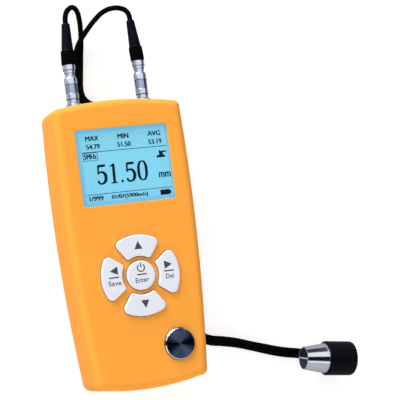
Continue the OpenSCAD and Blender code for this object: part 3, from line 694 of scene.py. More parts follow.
@dataclass
class Leads:
    """Two thin leads that drop from the plugs and run to the probe as a pair."""

    diameter: float = 2.7
    height: float = 1.46
    apart: float = 1.32
    # First points along the boot's axis, from the boot's end
    start: Point = (-1.2, 0.05, 2.5)
    # Last points, where the pair runs along the probe's axis
    straight_end: int = 3
    # How much longer the smooth curve is than straight runs between its points
    curve_share: float = 1.004
    # Along and beside the probe's axis: under the nose, then into the gland
    entry: tuple[Flat, ...] = ((2.0, 2.3), (6.5, 1.2), (10.1, 0.8), (12.55, 0.8), (13.8, 0.8))
    left_drop: tuple[Point, ...] = (
        (-15.9, 119.9, 15.8), (-13.8, 122.4, 14.6), (-11.2, 123.5, 12.7), (-8.9, 122.3, 10.3),
        (-7.4, 118.6, 7.4), (-6.7, 113.2, 4.5), (-6.8, 107, 2.3), (-7.5, 101.4, 1.5))
    right_drop: tuple[Point, ...] = (
        (15.8, 119.3, 16), (13.3, 121.2, 15), (9.4, 122, 13.3), (5, 121, 11.4), (0.5, 117.6, 9.4),
        (-3.7, 113.1, 7.7), (-7.2, 108.7, 6), (-9.5, 104.6, 4), (-10.5, 100.6, 2.2))
    # Middle line of the pair, and how far it is rolled in degrees
    pair: tuple[Point, ...] = (
        (-9.4, 97, 0), (-10.4, 90, 0), (-11.1, 84.5, 5), (-11, 80.4, 25), (-9.2, 76.7, 60), (-5.4, 74.4, 85),
        (0, 73.7, 90), (7, 73.6, 90), (15, 73.4, 90), (24.4, 72.8, 90), (31.2, 72.1, 60), (35.4, 69.3, 25),
        (37, 64, 0), (37.2, 54, 0), (37, 36, 0), (36.6, 17, 0), (36.1, -3, 0), (35.3, -22, 0), (34.6, -38, 0),
        (34.9, -46.6, 0), (36.8, -51.4, 0), (41, -54.1, 0), (48, -55.8, 10), (55.7, -57.8, 25),
        (63.2, -60.4, 35), (70.9, -63.1, 20), (78.7, -65.7, 5), (85.2, -67.4, 0))

    @staticmethod
    def at_boot(side: Side, along: float) -> Point:
        """A point on the axis of a boot, which leans towards the other one."""
        x, y, z = BOOT_BASE
        return side.value * (x - along * math.sin(BOOT_LEAN)), y + along * math.cos(BOOT_LEAN), z

    @staticmethod
    def at_probe(along: float, lateral: float) -> Flat:
        """A point on the table beside the probe's axis."""
        c, s = math.cos(PROBE_YAW), math.sin(PROBE_YAW)
        return PROBE_FACE[0] + along * c - lateral * s, PROBE_FACE[1] + along * s + lateral * c

    def strand(self, side: Side) -> list[Vector]:
        """Points of one lead in metres, from inside its boot to inside the gland.

        Args:
            side: Which plug it comes from.

        Returns:
            The points in order.
        """
        mark = -side.value
        middle = list(self.pair)
        for along, lateral in self.entry:
            middle.append((*self.at_probe(along, lateral), 0.0))
        points = [self.at_boot(side, BOOT_LEN + past) for past in self.start]
        points += self.left_drop if side is Side.LEFT else self.right_drop
        for i, (x, y, roll) in enumerate(middle):
            ahead, behind = middle[min(i + 1, len(middle) - 1)], middle[max(i - 1, 0)]
            run = Vector((ahead[0] - behind[0], ahead[1] - behind[1])).normalized()
            if i >= len(middle) - self.straight_end:
                run = Vector((math.cos(PROBE_YAW), math.sin(PROBE_YAW)))
            across = self.apart * math.cos(math.radians(roll)) * mark
            rise = self.apart * math.sin(math.radians(roll))
            points.append((x - run.y * across, y + run.x * across, self.height + rise * (1 + mark)))
        return [Vector(p) * MM for p in points]

    def build(self, plugs: dict[Side, list[Piece]], probe: list[Piece]) -> None:
        """Lay both leads.

        Args:
            plugs: The pieces of the plug on each lead; not used.
            probe: The pieces on their far end; not used.
        """
        for side in Side:
            points = self.strand(side)
            curve = bpy.data.curves.new(f"lead_strand_{side.word}", "CURVE")
            curve.dimensions = "3D"
            curve.bevel_depth = self.diameter * MM / 2
            curve.bevel_resolution = 5
            curve.resolution_u = 8
            curve.use_fill_caps = True
            spline = curve.splines.new("BEZIER")
            spline.bezier_points.add(len(points) - 1)
            for knot, point in zip(spline.bezier_points, points):
                knot.co = point
                knot.handle_left_type = knot.handle_right_type = "AUTO"
            obj = bpy.data.objects.new(curve.name, curve)
            bpy.context.scene.collection.objects.link(obj)
            fit(obj, JACKET, Slot.RUBBER, "root", f"lead_{side.word}")
            length = sum((b - a).length for a, b in zip(points, points[1:]))
            log.info("lead %s is %.3f m long", side.word, length)


@dataclass
class Housing:
    """Front shell, rear cover and battery door of the moulded housing."""

    face: float = 33.0
    seam: float = 10.4
    edge_round: float = 0.35
    seam_round: float = 0.3
    # Core outline: where its sides end, arch of its ends, corners at head and foot, and the bowed sides
    side_end: float = 64.65
    end_arch: float = 2.4
    head_corner: float = 28.2
    foot_corner: float = 24.2
    side_middle: float = 28.4
    side_lean: float = 2.0
    side_bow: float = 2.2
    # The outer skin lies further than this from the core, and the inner wall nearer
    skin: float = 4.1

    def build(self) -> None:
        """Make smooth copies of the three mouldings, with their edges rounded."""
        front = copy_of("front_shell", "front_moulding")
        soften(front, self.edge_round, at_height(self.face))
        soften(front, self.seam_round, self.on_seam)
        fit(shade(front), ABS_ORANGE, Slot.HOUSING, "root", "front_shell")
        rear = copy_of("rear_cover", "rear_moulding")
        soften(rear, self.seam_round, self.on_seam)
        soften(rear, self.edge_round, at_height(0.0))
        fit(shade(rear), ABS_ORANGE, Slot.HOUSING, "root", "rear_cover")
        door = copy_of("battery_door", "door_moulding")
        soften(door, self.seam_round, at_height(0.0))
        fit(shade(door), ABS_ORANGE, Slot.HOUSING, "battery_door", "battery_door")

    def on_seam(self, middle: Vector) -> bool:
        """Whether a point is on the seam's outer edge."""
        return at_height(self.seam)(middle) and self.is_outside(middle)

    def is_outside(self, middle: Vector) -> bool:
        """Tell the outer skin from the inner wall.

        Args:
            middle: A point on either, in millimetres.

        Returns:
            Whether it is on the outer skin.
        """
        x, y = abs(middle.x), abs(middle.y)
        corner = self.head_corner if middle.y > 0 else self.foot_corner
        if y > self.side_end and x > corner:
            return math.hypot(x - corner, y - self.side_end) > self.skin
        if y > self.side_end:
            return y - self.side_end - self.end_arch * (1 - (x / corner) ** 2) > self.skin
        u = middle.y / self.side_end
        return x - self.side_middle - self.side_lean * u + self.side_bow * u * u > self.skin


@dataclass
class KeyPad:
    """Five keys with their printed legends."""

    centre_y: float = -16.4
    top: float = 34.5
    ink: float = 0.03
    arrow: float = 3.9
    bar: Flat = (4.9, 0.6)
    # Ring of the on-off sign: outer and inner radius, and half its gap in degrees
    ring: Point = (2.05, 1.5, 38.0)
    # Stroke of the on-off sign: half its width, its foot and its top
    stroke: Point = (0.28, 0.3, 2.45)

    def triangle(self, x: float, y: float, heading: float) -> Piece:
        """An arrow head.

        Args:
            x: Its middle across the face.
            y: Its middle from the middle of the key cross.
            heading: Where it points, in degrees from +X.

        Returns:
            The printed arrow.
        """
        corners = [(0.5, 0.0), (-0.5, 0.52), (-0.5, -0.52)]
        c, s = math.cos(math.radians(heading)), math.sin(math.radians(heading))
        outline = [(x + self.arrow * (a * c - b * s), self.centre_y + y + self.arrow * (a * s + b * c))
                   for a, b in corners]
        return flat_shape("arrow", outline, self.top, self.ink)

    def rule(self, x: float, y: float) -> Piece:
        """The bar between a key's two meanings.

        Args:
            x: Its middle across the face.
            y: Its middle from the middle of the key cross.

        Returns:
            The printed bar.
        """
        w, h = self.bar[0] / 2, self.bar[1] / 2
        outline = [(x - w, y - h), (x + w, y - h), (x + w, y + h), (x - w, y + h)]
        return flat_shape("bar", [(a, self.centre_y + b) for a, b in outline], self.top, self.ink)

    def word(self, text: str, x: float, y: float, size: Flat) -> Piece:
        """A printed word on a key."""
        return lettering(text, (x, self.centre_y + y), size, self.top, self.ink, 0.01)

    def switch_sign(self, x: float, y: float) -> list[Piece]:
        """The on-off sign: an open ring with a stroke.

        Args:
            x: Middle of the ring across the face.
            y: Middle of the ring from the middle of the key cross.

        Returns:
            The ring and the stroke.
        """
        outer, inner, gap = self.ring
        half, foot, top = self.stroke
        steps = 28
        angles = [math.radians(90 + gap + (360 - 2 * gap) * i / steps) for i in range(steps + 1)]
        middle = self.centre_y + y
        arc = [(x + outer * math.cos(a), middle + outer * math.sin(a)) for a in angles]
        arc += [(x + inner * math.cos(a), middle + inner * math.sin(a)) for a in reversed(angles)]
        line = [(x - half, foot), (x + half, foot), (x + half, top), (x - half, top)]
        return [flat_shape("ring", arc, self.top, self.ink),
                flat_shape("stroke", [(a, middle + b) for a, b in line], self.top, self.ink)]

    def build(self) -> None:
        """Make the key caps and print their legends."""
        legends = {
            "up": [self.triangle(0.2, 14.7, 90)],
            "down": [self.triangle(0.2, -14.1, -90)],
            "left": [self.triangle(-13.5, 3.6, 180), self.rule(-13.8, 0.4),
                     self.word("Save", -13.7, -2.3, (6.4, 2.3))],
            "right": [self.triangle(14.1, 3.6, 0), self.rule(14.2, 0.5),
                      self.word("Del", 14.2, -2.1, (4.0, 2.3))],
            "enter": [*self.switch_sign(0.2, 3.6), self.rule(0.2, 0.4),
                      self.word("Enter", 0.1, -2.3, (6.7, 2.4))],
        }
        for name, prints in legends.items():
            cap = copy_of(f"key_{name}", f"cap_{name}")
            fit(shade(cap, 36), KEY_WHITE, Slot.KEY, f"key_{name}", f"key_{name}")
            fit(join(f"legend_{name}", prints), PRINT_INK, Slot.BLACK, f"key_{name}")


@dataclass
class Display:
    """Lens, glass and the reading on it."""

    centre: Flat = (0.0, 38.3)
    glass: float = 30.7
    ink: float = 0.05
    columns: tuple[tuple[str, str, float, float], ...] = (
        ("MAX", "54.79", -14.8, 6.6), ("MIN", "51.50", 1.0, 5.4), ("AVG", "53.19", 17.0, 6.5))
    label_y: float = 14.6
    number_y: float = 10.45
    number_size: Flat = (6.7, 2.4)
    # Other words, with their middle and their size
    notes: tuple[tuple[str, Flat, Flat], ...] = (
        ("mm", (19.85, -6.5), (6.0, 2.6)), ("1/999", (-16.3, -15.0), (6.9, 2.3)),
        ("01/07(5900m/s)", (0.6, -15.3), (18.4, 2.5)), ("5MHz", (-16.8, 5.7), (6.2, 2.5)))
    # Long lines and the frame of a note, from lower left to upper right corner
    rules: tuple[Corners, ...] = ((-20.6, 7.7, 22.8, 7.98), (-20.8, -13.15, 22.7, -12.87))
    frame_box: Corners = (-20.5, 3.6, -13.0, 7.6)
    frame_line: float = 0.24
    frame_lap: float = 0.02
    battery: tuple[Flat, ...] = (
        (16.4, -16.6), (20.8, -16.6), (22.0, -15.9), (22.0, -14.7), (20.8, -14.0), (16.4, -14.0))
    probe_sign: tuple[Flat, ...] = (
        (16.9, 2.2), (21.2, 2.2), (21.2, 3.2), (20.2, 3.5), (20.2, 4.6), (22.3, 4.9), (22.3, 5.4),
        (18.9, 5.4), (18.9, 5.9), (18.3, 5.9), (18.3, 3.5), (16.9, 3.2))
    # Strokes of the large numerals: x, y and width of each knot, from the numeral's lower left corner
    five: tuple[tuple[Point, ...], ...] = (
        ((0.55, 9.1, 1.0), (2.6, 9.12, 1.05), (4.4, 9.2, 1.0)),
        ((0.85, 9.3, 0.75), (0.75, 7.2, 0.75), (0.6, 5.0, 0.6)),
        ((0.5, 5.1, 0.5), (1.5, 5.95, 0.7), (2.9, 5.95, 0.95), (4.05, 4.9, 1.25), (4.4, 3.1, 1.35),
         (3.95, 1.4, 1.2), (2.7, 0.4, 0.8), (1.4, 0.42, 0.75), (0.62, 1.2, 0.9), (0.66, 1.9, 1.05)))
    one: tuple[tuple[Point, ...], ...] = (
        ((2.6, 9.7, 1.0), (2.55, 5.0, 1.15), (2.55, 0.3, 1.1)),
        ((0.7, 8.55, 0.45), (1.6, 8.75, 0.6), (2.6, 9.35, 0.8)),
        ((0.9, 0.24, 0.5), (2.5, 0.28, 0.55), (4.1, 0.24, 0.5)))
    nought: tuple[tuple[Point, ...], ...] = (
        ((2.6, 9.75, 0.5), (1.35, 9.0, 0.85), (0.68, 7.0, 1.15), (0.58, 4.95, 1.2), (0.68, 2.9, 1.15),
         (1.35, 0.9, 0.85), (2.6, 0.18, 0.5)),
        ((2.6, 9.75, 0.5), (3.8, 9.0, 0.85), (4.47, 7.0, 1.15), (4.57, 4.95, 1.2), (4.47, 2.9, 1.15),
         (3.8, 0.9, 0.85), (2.6, 0.18, 0.5)))
    numeral_left: tuple[float, ...] = (-14.75, -8.75, -0.1, 5.9)
    # Decimal point: place across, height over the baseline, and radius
    point: Point = (-2.1, 0.68, 0.66)
    baseline: float = -8.4
    numeral_lean: float = 0.035
    pen: float = 1.2
    bold: float = 0.26

    def words(self, text: str, x: float, y: float, size: Flat) -> Piece:
        """Words on the glass in heavy letters, printed twice side by side.

        Args:
            text: The words.
            x: Their middle across, from the middle of the window.
            y: Their middle along, from the middle of the window.
            size: Width and height that they fill.

        Returns:
            The words as one piece.
        """
        middle, along = self.centre[0] + x, self.centre[1] + y
        return join("words", [lettering(text, (middle + shift, along), size, self.glass, self.ink)
                              for shift in (-self.bold / 2, self.bold / 2)])

    def shape(self, *outline: Flat) -> Piece:
        """A dark shape on the glass, placed from the middle of the window."""
        return flat_shape("shape", [(self.centre[0] + x, self.centre[1] + y) for x, y in outline],
                          self.glass, self.ink)

    def box(self, x0: float, y0: float, x1: float, y1: float) -> Piece:
        """A dark rectangle on the glass."""
        return self.shape((x0, y0), (x1, y0), (x1, y1), (x0, y1))

    def stroke(self, left: float, knots: Sequence[Point]) -> Piece:
        """One stroke of a numeral, swelling and thinning as a pen's does.

        Args:
            left: The numeral's left edge from the middle of the window.
            knots: Place and width of the stroke at each knot.

        Returns:
            The stroke as a thin shape.
        """
        steps, line = 5, []
        for i in range(len(knots) - 1):
            k = [Vector(knots[min(max(j, 0), len(knots) - 1)]) for j in (i - 1, i, i + 1, i + 2)]
            for t in (n / steps for n in range(steps)):
                line.append(0.5 * (
                    2 * k[1] + (k[2] - k[0]) * t + (2 * k[0] - 5 * k[1] + 4 * k[2] - k[3]) * t * t
                    + (3 * k[1] - k[0] - 3 * k[2] + k[3]) * t ** 3))
        line.append(Vector(knots[-1]))
        sides: tuple[list[Flat], list[Flat]] = ([], [])
        for i, knot in enumerate(line):
            run = (line[min(i + 1, len(line) - 1)] - line[max(i - 1, 0)]).xy.normalized()
            for sign, side in zip((1, -1), sides):
                half = sign * self.pen * knot.z / 2
                x, y = knot.x - half * run.y, knot.y + half * run.x
                side.append((left + x + self.numeral_lean * y, self.baseline + y))
        return self.shape(*sides[0], *reversed(sides[1]))

    def numerals(self) -> list[Piece]:
        """The large reading.

        Returns:
            Its strokes and its decimal point.
        """
        strokes = zip(self.numeral_left, (self.five, self.one, self.five, self.nought))
        marks = [self.stroke(left, knots) for left, numeral in strokes for knots in numeral]
        x, y, radius = self.point
        dot = [(x + radius * math.cos(a), self.baseline + y + radius * math.sin(a))
               for a in (math.tau * i / 20 for i in range(20))]
        return [*marks, self.shape(*dot)]

    def note_frame(self) -> list[Piece]:
        """The four bars of a frame, which lap at its corners.

        Returns:
            Lower, upper, left and right bar.
        """
        x0, y0, x1, y1 = self.frame_box
        t, lap = self.frame_line, self.frame_lap
        return [self.box(x0, y0, x1, y0 + t), self.box(x0, y1 - t, x1, y1),
                self.box(x0 + lap, y0 + lap, x0 + t, y1 - lap),
                self.box(x1 - t, y0 + lap, x1 - lap, y1 - lap)]

    def build(self) -> None:
        """Light the display and draw the reading."""
        marks = self.numerals()
        for label, number, x, wide in self.columns:
            marks.append(self.words(label, x, self.label_y, (wide, self.number_size[1])))
            marks.append(self.words(number, x, self.number_y, self.number_size))
        marks += [self.box(*rule) for rule in self.rules]
        marks += [self.words(text, x, y, size) for text, (x, y), size in self.notes]
        marks += [*self.note_frame(), self.shape(*self.battery), self.shape(*self.probe_sign)]
        fit(join("display_reading", marks), LCD_INK, Slot.DISPLAY)
        dress(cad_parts["lcd_panel"], LCD)
        dress(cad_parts["window_lens"], ACRYLIC)


@dataclass
class ZeroBlock:
    """Steel test block let into the face, with the rings of its facing cut."""

    bottom: float = 30.3
    radius: float = 7.75
    thick: float = 4.0
    foot: float = 0.2
    chamfer: float = 0.5
    # Range of a chamfer face's normal along Z
    slope: Flat = (0.3, 0.9)
    ring: float = 0.24
    ring_depth: float = 0.012

    def build(self) -> None:
        """Turn the block with its rings."""
        r, top, foot = self.radius, self.thick, self.foot
        n = int((r - self.chamfer) / self.ring)
        rings = [(self.ring * i, top - self.ring_depth * (i % 2)) for i in range(n)]
        profile = [(0.0, 0.0), (r - foot, 0.0), (r, foot), (r, top - self.chamfer), (r - self.chamfer, top),
                   *reversed(rings)]
        block = lathe("zero_block", profile, (*BLOCK_CENTRE[:2], self.bottom), (0, 0, 1), 96)
        fit(shade(block), STEEL_PAINTED_DARK, Slot.TURNED, "root", "test_block")
        # The chamfer gets the pale polished chrome as a painted highlight round the block's rim
        refinish(block, POLISHED, lambda face: self.slope[0] < face.normal.z < self.slope[1])


@dataclass
class Plug:
    """One plug: socket flange, release sleeve with its knurl, core, collet nut and boot."""

    side: Side
    sleeve_y: float = 73.18
    sleeve_len: float = 13.6
    radius: float = 3.25
    bore: float = 2.58
    knurl: Flat = (5.1, 9.5)
    knurl_rows: int = 10
    knurl_teeth: int = 36
    sink: float = 0.25
    # Crests and valleys of the knurl, over and under its sunk seat
    crest: float = 0.12
    valley: float = 0.05
    collet_y: float = 88.58
    collet_len: float = 4.2
    waist: float = 0.45
    lead_bore: float = 1.35
    # Length of the boot's head, which is painted darker than the taper with its painted sheen
    boot_head: float = 7.3

    @property
    def x(self) -> float:
        """Place of the plug's axis across the gauge."""
        return self.side.value * BOOT_BASE[0]

    def turned(self, name: str, profile: Sequence[Flat], y: float, steps: int = 72) -> Piece:
        """Turn a piece on the plug's axis.

        Args:
            name: The piece's name, without its side.
            profile: Radius and distance along the axis, in order.
            y: Where the piece starts.
            steps: Facets round the piece.

        Returns:
            The turned piece.
        """
        return lathe(f"{name}_{self.side.word}", profile, (self.x, y, BOOT_BASE[2]), (0, 1, 0), steps)

    def sleeve(self) -> Piece:
        """Turn the sleeve and press the knurl into its grip.

        Returns:
            The knurled sleeve.
        """
        r, low, n = self.radius, self.radius - self.sink, self.knurl_rows
        crest, (start, end) = low + self.crest, self.knurl
        step = (end - start) / n
        rows = [(crest, start + (end - start) * i / n) for i in range(n + 1)]
        profile = [
            (self.bore, 0.0), (low - 0.15, 0.0), (low, 0.15), (low, 1.9), (r - 0.1, 2.15), (r, 2.3), (r, 4.8),
            (r - 0.1, 4.95), (low, 5.0), *rows, (low, 9.6), (r - 0.1, 9.65), (r, 9.8), (r, 12.7),
            (r - 0.2, 13.2), (r - 0.6, self.sleeve_len), (self.bore, self.sleeve_len), (self.bore, 0.0)]
        obj = self.turned("knurled_sleeve", profile, self.sleeve_y, 2 * self.knurl_teeth)
        middle = Vector((self.x, 0, BOOT_BASE[2]))
        with editing(obj):
            bpy.ops.mesh.select_all(action="DESELECT")
            mesh = bmesh.from_edit_mesh(obj.data)
            for vert in mesh.verts:
                spot = vert.co / MM - middle
                row = round((spot.y - self.sleeve_y - start) / step)
                tooth = round(math.atan2(spot.z, spot.x) / math.tau * 2 * self.knurl_teeth)
                on_crest = abs(math.hypot(spot.x, spot.z) - crest) < 2 * LEVEL
                vert.select_set(0 <= row <= n and on_crest and (row + tooth) % 2 == 0)
            bmesh.update_edit_mesh(obj.data)
            squeeze = (low - self.valley) / crest
            bpy.ops.transform.resize(value=(squeeze, 1, squeeze), center_override=middle * MM)
        return obj

    def collet(self) -> Piece:
        """Turn the collet nut: a short head on a waist.

        Returns:
            The nut.
        """
        r, waist, end = self.radius, self.radius - self.waist, self.collet_len
        profile = [
            (self.bore, 0.0), (waist - 0.1, 0.0), (waist, 0.1), (waist, 1.55), (r - 0.12, 1.6), (r, 1.75),
            (r, end), (self.lead_bore, end), (self.lead_bore, end - 0.6), (self.bore, end - 1.0),
            (self.bore, 0.0)]
        return self.turned("collet", profile, self.collet_y)

    def boot(self) -> Piece:
        """Turn the boot: a thick head, a step and a long taper.

        Returns:
            The boot, leaning to the other plug.
        """
        profile = [
            (0.0, 0.0), (3.1, 0.0), (3.38, 0.12), (3.5, 0.45), (3.5, 6.4), (3.46, 6.8), (3.3, 7.15),
            (3.05, 7.5), (2.98, 7.9), (2.5, 14.5), (2.1, 20.6), (2.0, 21.1), (1.85, BOOT_LEN),
            (0.0, BOOT_LEN)]
        axis = (-self.side.value * math.sin(BOOT_LEAN), math.cos(BOOT_LEAN), 0)
        return lathe(f"boot_moulding_{self.side.word}", profile, (self.x, *BOOT_BASE[1:]), axis)

    def is_knurl(self, face: bpy.types.MeshPolygon) -> bool:
        """Whether a face of the sleeve is in its knurl and not in its bore."""
        x, y, z = face.center / MM
        inside = self.knurl[0] - 0.1 < y - self.sleeve_y < self.knurl[1] + 0.1
        return inside and math.hypot(x - self.x, z - BOOT_BASE[2]) > self.bore + 0.1

    def build(self) -> list[Piece]:
        """Make the plug.

        Returns:
            Its pieces, CAD nodes among them.
        """
        word = self.side.word
        body = f"release_sleeve_{word}"
        sleeve = fit(shade(self.sleeve(), 25), SATIN_CHROME, Slot.PLATED, body, body)
        # The knurl gets the darker plate colour as painted shade
        refinish(sleeve, KNURL_PAINTED_SHADE, self.is_knurl)
        flange = copy_of(f"socket_{word}", f"socket_shell_{word}")
        fit(shade(flange), SATIN_CHROME, Slot.PLATED, "root", f"socket_{word}")
        collet = fit(shade(self.collet()), SATIN_CHROME, Slot.PLATED, "root", f"collet_nut_{word}")
        # Steps of the sleeve and the collet that face the housing get painted shade
        for piece in (sleeve, collet):
            refinish(piece, STEP_SHADE_PAINT, lambda face: face.normal.y < -0.5)
        boot = fit(shade(self.boot(), 40), RUBBER_PAINTED_SHEEN, Slot.RUBBER, "root", f"boot_{word}")
        # The boot's head gets the dull jacket black and its taper keeps the lighter rubber: a painted sheen
        # on the taper
        refinish(boot, JACKET, lambda face: face.center.y / MM < BOOT_BASE[1] + self.boot_head)
        inner = [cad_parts[f"{node}_{word}"] for node in ("plug_core", "plug_insulator", "plug_pin")]
        dress(inner[0], SATIN_CHROME)
        return [sleeve, collet, boot, *inner]


@dataclass
class Probe:
    """Dual-element probe: polished nose, black cap, delay lines and the gland of the leads."""

    face_turn: float = math.radians(-6.2)
    gland_round: float = 0.3

    def build(self) -> list[Piece]:
        """Turn and dress the probe.

        Returns:
            Its pieces.
        """
        axis = (math.cos(PROBE_YAW), math.sin(PROBE_YAW), 0.0)
        nose = lathe("nose_cone", [
            (5.55, 8.8), (5.55, 0.04), (5.59, 0.0), (5.78, 0.0), (5.93, 0.08), (6.0, 0.25), (7.74, 11.2),
            (7.62, 11.3), (7.64, 11.55), (7.82, 11.6), (7.9, 12.0), (6.6, 12.0), (6.6, 17.0), (0.0, 17.0),
            (0.0, 8.8), (5.55, 8.8)], PROBE_FACE, axis, 96)
        cap = lathe("probe_cap_moulding", [
            (6.65, 12.0), (8.4, 12.0), (8.7, 12.1), (8.92, 12.35), (9.0, 12.7), (9.0, 26.3), (8.9, 26.95),
            (8.6, 27.5), (8.1, 27.85), (7.4, 28.0), (4.0, 28.0), (0.0, 28.0), (0.0, 17.1), (6.65, 17.1),
            (6.65, 12.0)], PROBE_FACE, axis, 96)
        gland = copy_of("probe_gland", "lead_gland")
        soften(gland, self.gland_round, lambda middle: True)
        pieces = [fit(shade(nose), POLISHED, Slot.PLATED, "root", "probe_nose"),
                  fit(shade(cap, 40), BLACK_ACETAL, Slot.BLACK, "root", "probe_cap"),
                  fit(shade(gland), RUBBER_PAINTED_SHEEN, Slot.RUBBER, "root", "probe_gland")]
        round_face = {"delay_line_send": (RESIN, Slot.DELAY), "delay_line_receive": (RESIN, Slot.DELAY),
                      "sound_barrier": (CORK, Slot.PALE)}
        for node, (finish, slot) in round_face.items():
            piece = self.turned(copy_of(node, f"{node}_face"), Vector(axis))
            pieces.append(fit(piece, finish, slot, "root", node))
        return pieces

    def turned(self, piece: Piece, axis: Vector) -> Piece:
        """Turn a piece of the round face about the probe's axis.

        Args:
            piece: The piece.
            axis: Direction of the probe's axis.

        Returns:
            The same piece, with the turn in its mesh.
        """
        middle = Matrix.Translation(Vector(PROBE_FACE) * MM)
        piece.matrix_world = middle @ Matrix.Rotation(self.face_turn, 4, axis) @ middle.inverted()
        only(piece)
        bpy.ops.object.transform_apply(location=True, rotation=True, scale=True)
        return piece


@dataclass
class Screws:
    """Case screws with a cross recess in each head."""

    places: tuple[Flat, ...] = ((27.1, 64.45), (-27.1, 64.45), (27.3, 0.2), (-27.3, 0.2))
    head: float = 0.8
    arm: Flat = (1.55, 0.35)
    depth: float = 1.3
    over: float = 0.3
    edge_round: float = 0.2

    def build(self) -> None:
        """Cut the recesses into a copy of the screws."""
        screws = copy_of("case_screws", "cross_head_screws")
        a, b = self.arm
        cross = [(a, -b), (a, b), (b, b), (b, a), (-b, a), (-b, b), (-a, b), (-a, -b), (-b, -b), (-b, -a),
                 (b, -a), (b, -b)]
        for x, y in self.places:
            outline = [(x + u, y + v) for u, v in cross]
            cut(screws, flat_shape("recess", outline, self.head - self.over, self.depth + self.over))
        soften(screws, self.edge_round, at_height(self.head))
        fit(shade(screws), ZINC, Slot.SPRING, "root", "case_screws")


@dataclass
class Inside:
    """Finishes of the pieces behind the shells, which stay as the CAD has them."""

    finishes: dict[str, Finish] = field(default_factory=lambda: {
        "backlight": NYLON, "main_board": SOLDER_MASK, "wireless_module": ZINC, "tact_switches": BLACK_ACETAL,
        "plunger_": NYLON, "socket_nut_": BRASS, "socket_insulator_": NYLON, "socket_contact_": BRASS,
        "plug_insulator_": NYLON, "plug_pin_": BRASS, "crystal_": CERAMIC, "cell_": CELL_WRAP,
        "battery_springs": ZINC, "battery_contacts": BRASS, "board_screws": ZINC})

    def build(self) -> None:
        """Dress each node by the start of its name."""
        for name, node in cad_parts.items():
            for start, finish in self.finishes.items():
                if name.startswith(start):
                    dress(node, finish)


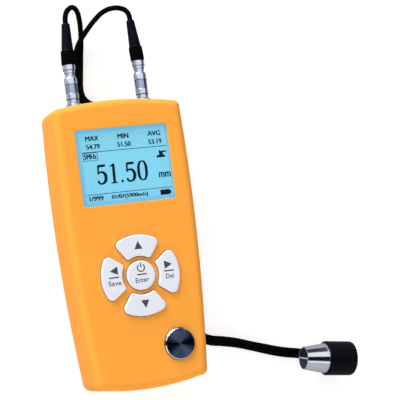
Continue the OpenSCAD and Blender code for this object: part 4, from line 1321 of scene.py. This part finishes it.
@dataclass
class Studio:
    """Camera, floor, world and lamps."""

    camera_at: Point = (-146.53, -23.78, 550.2)
    camera_turn: Point = (6.928, -18.637, -8.225)
    focal_px: float = 1100.7
    image_px: float = 400.0
    sensor: float = 36.0
    floor_size: float = 6.0
    floor_drop: float = 0.05
    ambient: float = 0.61
    # Place in metres, width in metres and power in watts of each soft lamp
    lamps: tuple[tuple[Point, float, float], ...] = (
        ((-0.85, 2.0, 0.5), 1.6, 76.0), ((-0.6, -1.75, 0.45), 1.4, 20.0))
    # Cards that only gloss shows: place and half sizes in metres, turn in degrees, and colour
    cards: tuple[tuple[Point, Flat, Point, str], ...] = (
        ((0.35, -0.19, 1.0), (2.6, 0.33), (0, 0, 0), "#0A0D15"),
        ((0.15, 0.2, 0.12), (0.06, 0.12), (90, 0, 0), "#20252E"),
        ((0.2, -0.9, 0.5), (1.2, 0.5), (90, 0, 0), "#B9C0CC"),
        ((-0.9, 0.1, 0.5), (0.5, 0.2), (0, 90, 0), "#2A3346"),
        ((0.9, 0.2, 0.4), (0.4, 0.5), (0, 90, 0), "#2A3346"))
    floor_grey: float = 0.42
    floor_glow: float = 0.72
    floor_shine: float = 0.15

    def shown(self, tree: Tree, gloss: float = 1.0) -> Socket:
        """One for rays from the camera and through glass, a share for gloss, else zero.

        Args:
            tree: The floor's or the world's tree.
            gloss: What gloss gets.

        Returns:
            The factor.
        """
        light = add_node(tree, "LightPath").outputs
        shine = add_node(tree, "Math", {0: light["Is Glossy Ray"], 1: gloss}, operation="MULTIPLY")
        either = add_node(tree, "Math", {0: light["Is Camera Ray"], 1: shine.outputs[0]}, operation="MAXIMUM")
        return add_node(tree, "Math", {0: either.outputs[0], 1: light["Is Transmission Ray"]},
                        operation="MAXIMUM").outputs[0]

    def camera(self) -> None:
        """Set the camera at the photograph's place."""
        data = bpy.data.cameras.new("camera")
        data.sensor_width = self.sensor
        data.lens = self.focal_px / self.image_px * self.sensor
        data.clip_start = 0.01
        obj = bpy.data.objects.new("camera", data)
        obj.location = Vector(self.camera_at) * MM
        obj.rotation_euler = [math.radians(a) for a in self.camera_turn]
        bpy.context.scene.collection.objects.link(obj)
        bpy.context.scene.camera = obj

    def floor(self) -> None:
        """Lay a pale floor that shows white, and still takes the object's shadow."""
        bpy.ops.object.select_all(action="DESELECT")
        bpy.ops.mesh.primitive_plane_add(size=self.floor_size, location=(0, 0, -self.floor_drop * MM))
        floor = bpy.context.object
        floor.name = "floor"
        material = bpy.data.materials.new("pale_floor")
        tree = empty_tree(material)
        matt = add_node(tree, "BsdfDiffuse", {"Color": (self.floor_grey,) * 3 + (1,)})
        level = add_node(tree, "Math", {0: self.shown(tree, self.floor_shine), 1: self.floor_glow},
                         operation="MULTIPLY")
        glow = add_node(tree, "Emission", {"Strength": level.outputs[0]})
        both = add_node(tree, "AddShader", {0: matt.outputs[0], 1: glow.outputs[0]})
        add_node(tree, "OutputMaterial", {"Surface": both.outputs[0]})
        floor.data.materials.append(material)

    def world(self) -> None:
        """Light all round, and a white background."""
        world = bpy.data.worlds.new("studio")
        bpy.context.scene.world = world
        tree = empty_tree(world)
        level = add_node(tree, "MapRange", {
            "Value": self.shown(tree), "To Min": self.ambient, "To Max": 1.0}).outputs["Result"]
        sky = add_node(tree, "Background", {"Color": (1, 1, 1, 1), "Strength": level})
        add_node(tree, "OutputWorld", {"Surface": sky.outputs[0]})

    def lights(self) -> None:
        """Hang the soft lamps and the cards."""
        for i, (place, width, power) in enumerate(self.lamps):
            data = bpy.data.lights.new(f"soft_lamp_{i}", "AREA")
            data.size = width
            data.energy = power
            lamp = bpy.data.objects.new(data.name, data)
            lamp.location = place
            lamp.rotation_euler = Vector(place).to_track_quat("Z", "Y").to_euler()
            bpy.context.scene.collection.objects.link(lamp)
        for i, (place, (half_x, half_y), turn, colour) in enumerate(self.cards):
            bpy.ops.object.select_all(action="DESELECT")
            bpy.ops.mesh.primitive_plane_add(size=2, location=place, rotation=[math.radians(a) for a in turn])
            card = bpy.context.object
            card.name = f"card_{i}"
            card.scale = (half_x, half_y, 1)
            card.visible_camera = card.visible_diffuse = card.visible_shadow = False
            card.visible_transmission = False
            material = bpy.data.materials.new(card.name)
            tree = empty_tree(material)
            plain = add_node(tree, "Emission", {"Color": linear(colour)})
            add_node(tree, "OutputMaterial", {"Surface": plain.outputs[0]})
            card.data.materials.append(material)

    def build(self) -> None:
        """Set up the whole studio."""
        bpy.context.scene.view_settings.view_transform = "Standard"
        self.camera()
        self.floor()
        self.world()
        self.lights()


def main() -> None:
    """Build every sub-assembly in order."""
    logging.basicConfig(level=logging.INFO, format="%(name)s: %(message)s")
    Studio().build()
    probe = Probe().build()
    plugs = {side: Plug(side).build() for side in Side}
    Leads().build(plugs, probe)
    Housing().build()
    KeyPad().build()
    Display().build()
    ZeroBlock().build()
    Screws().build()
    Inside().build()


if __name__ == "__main__":
    main()
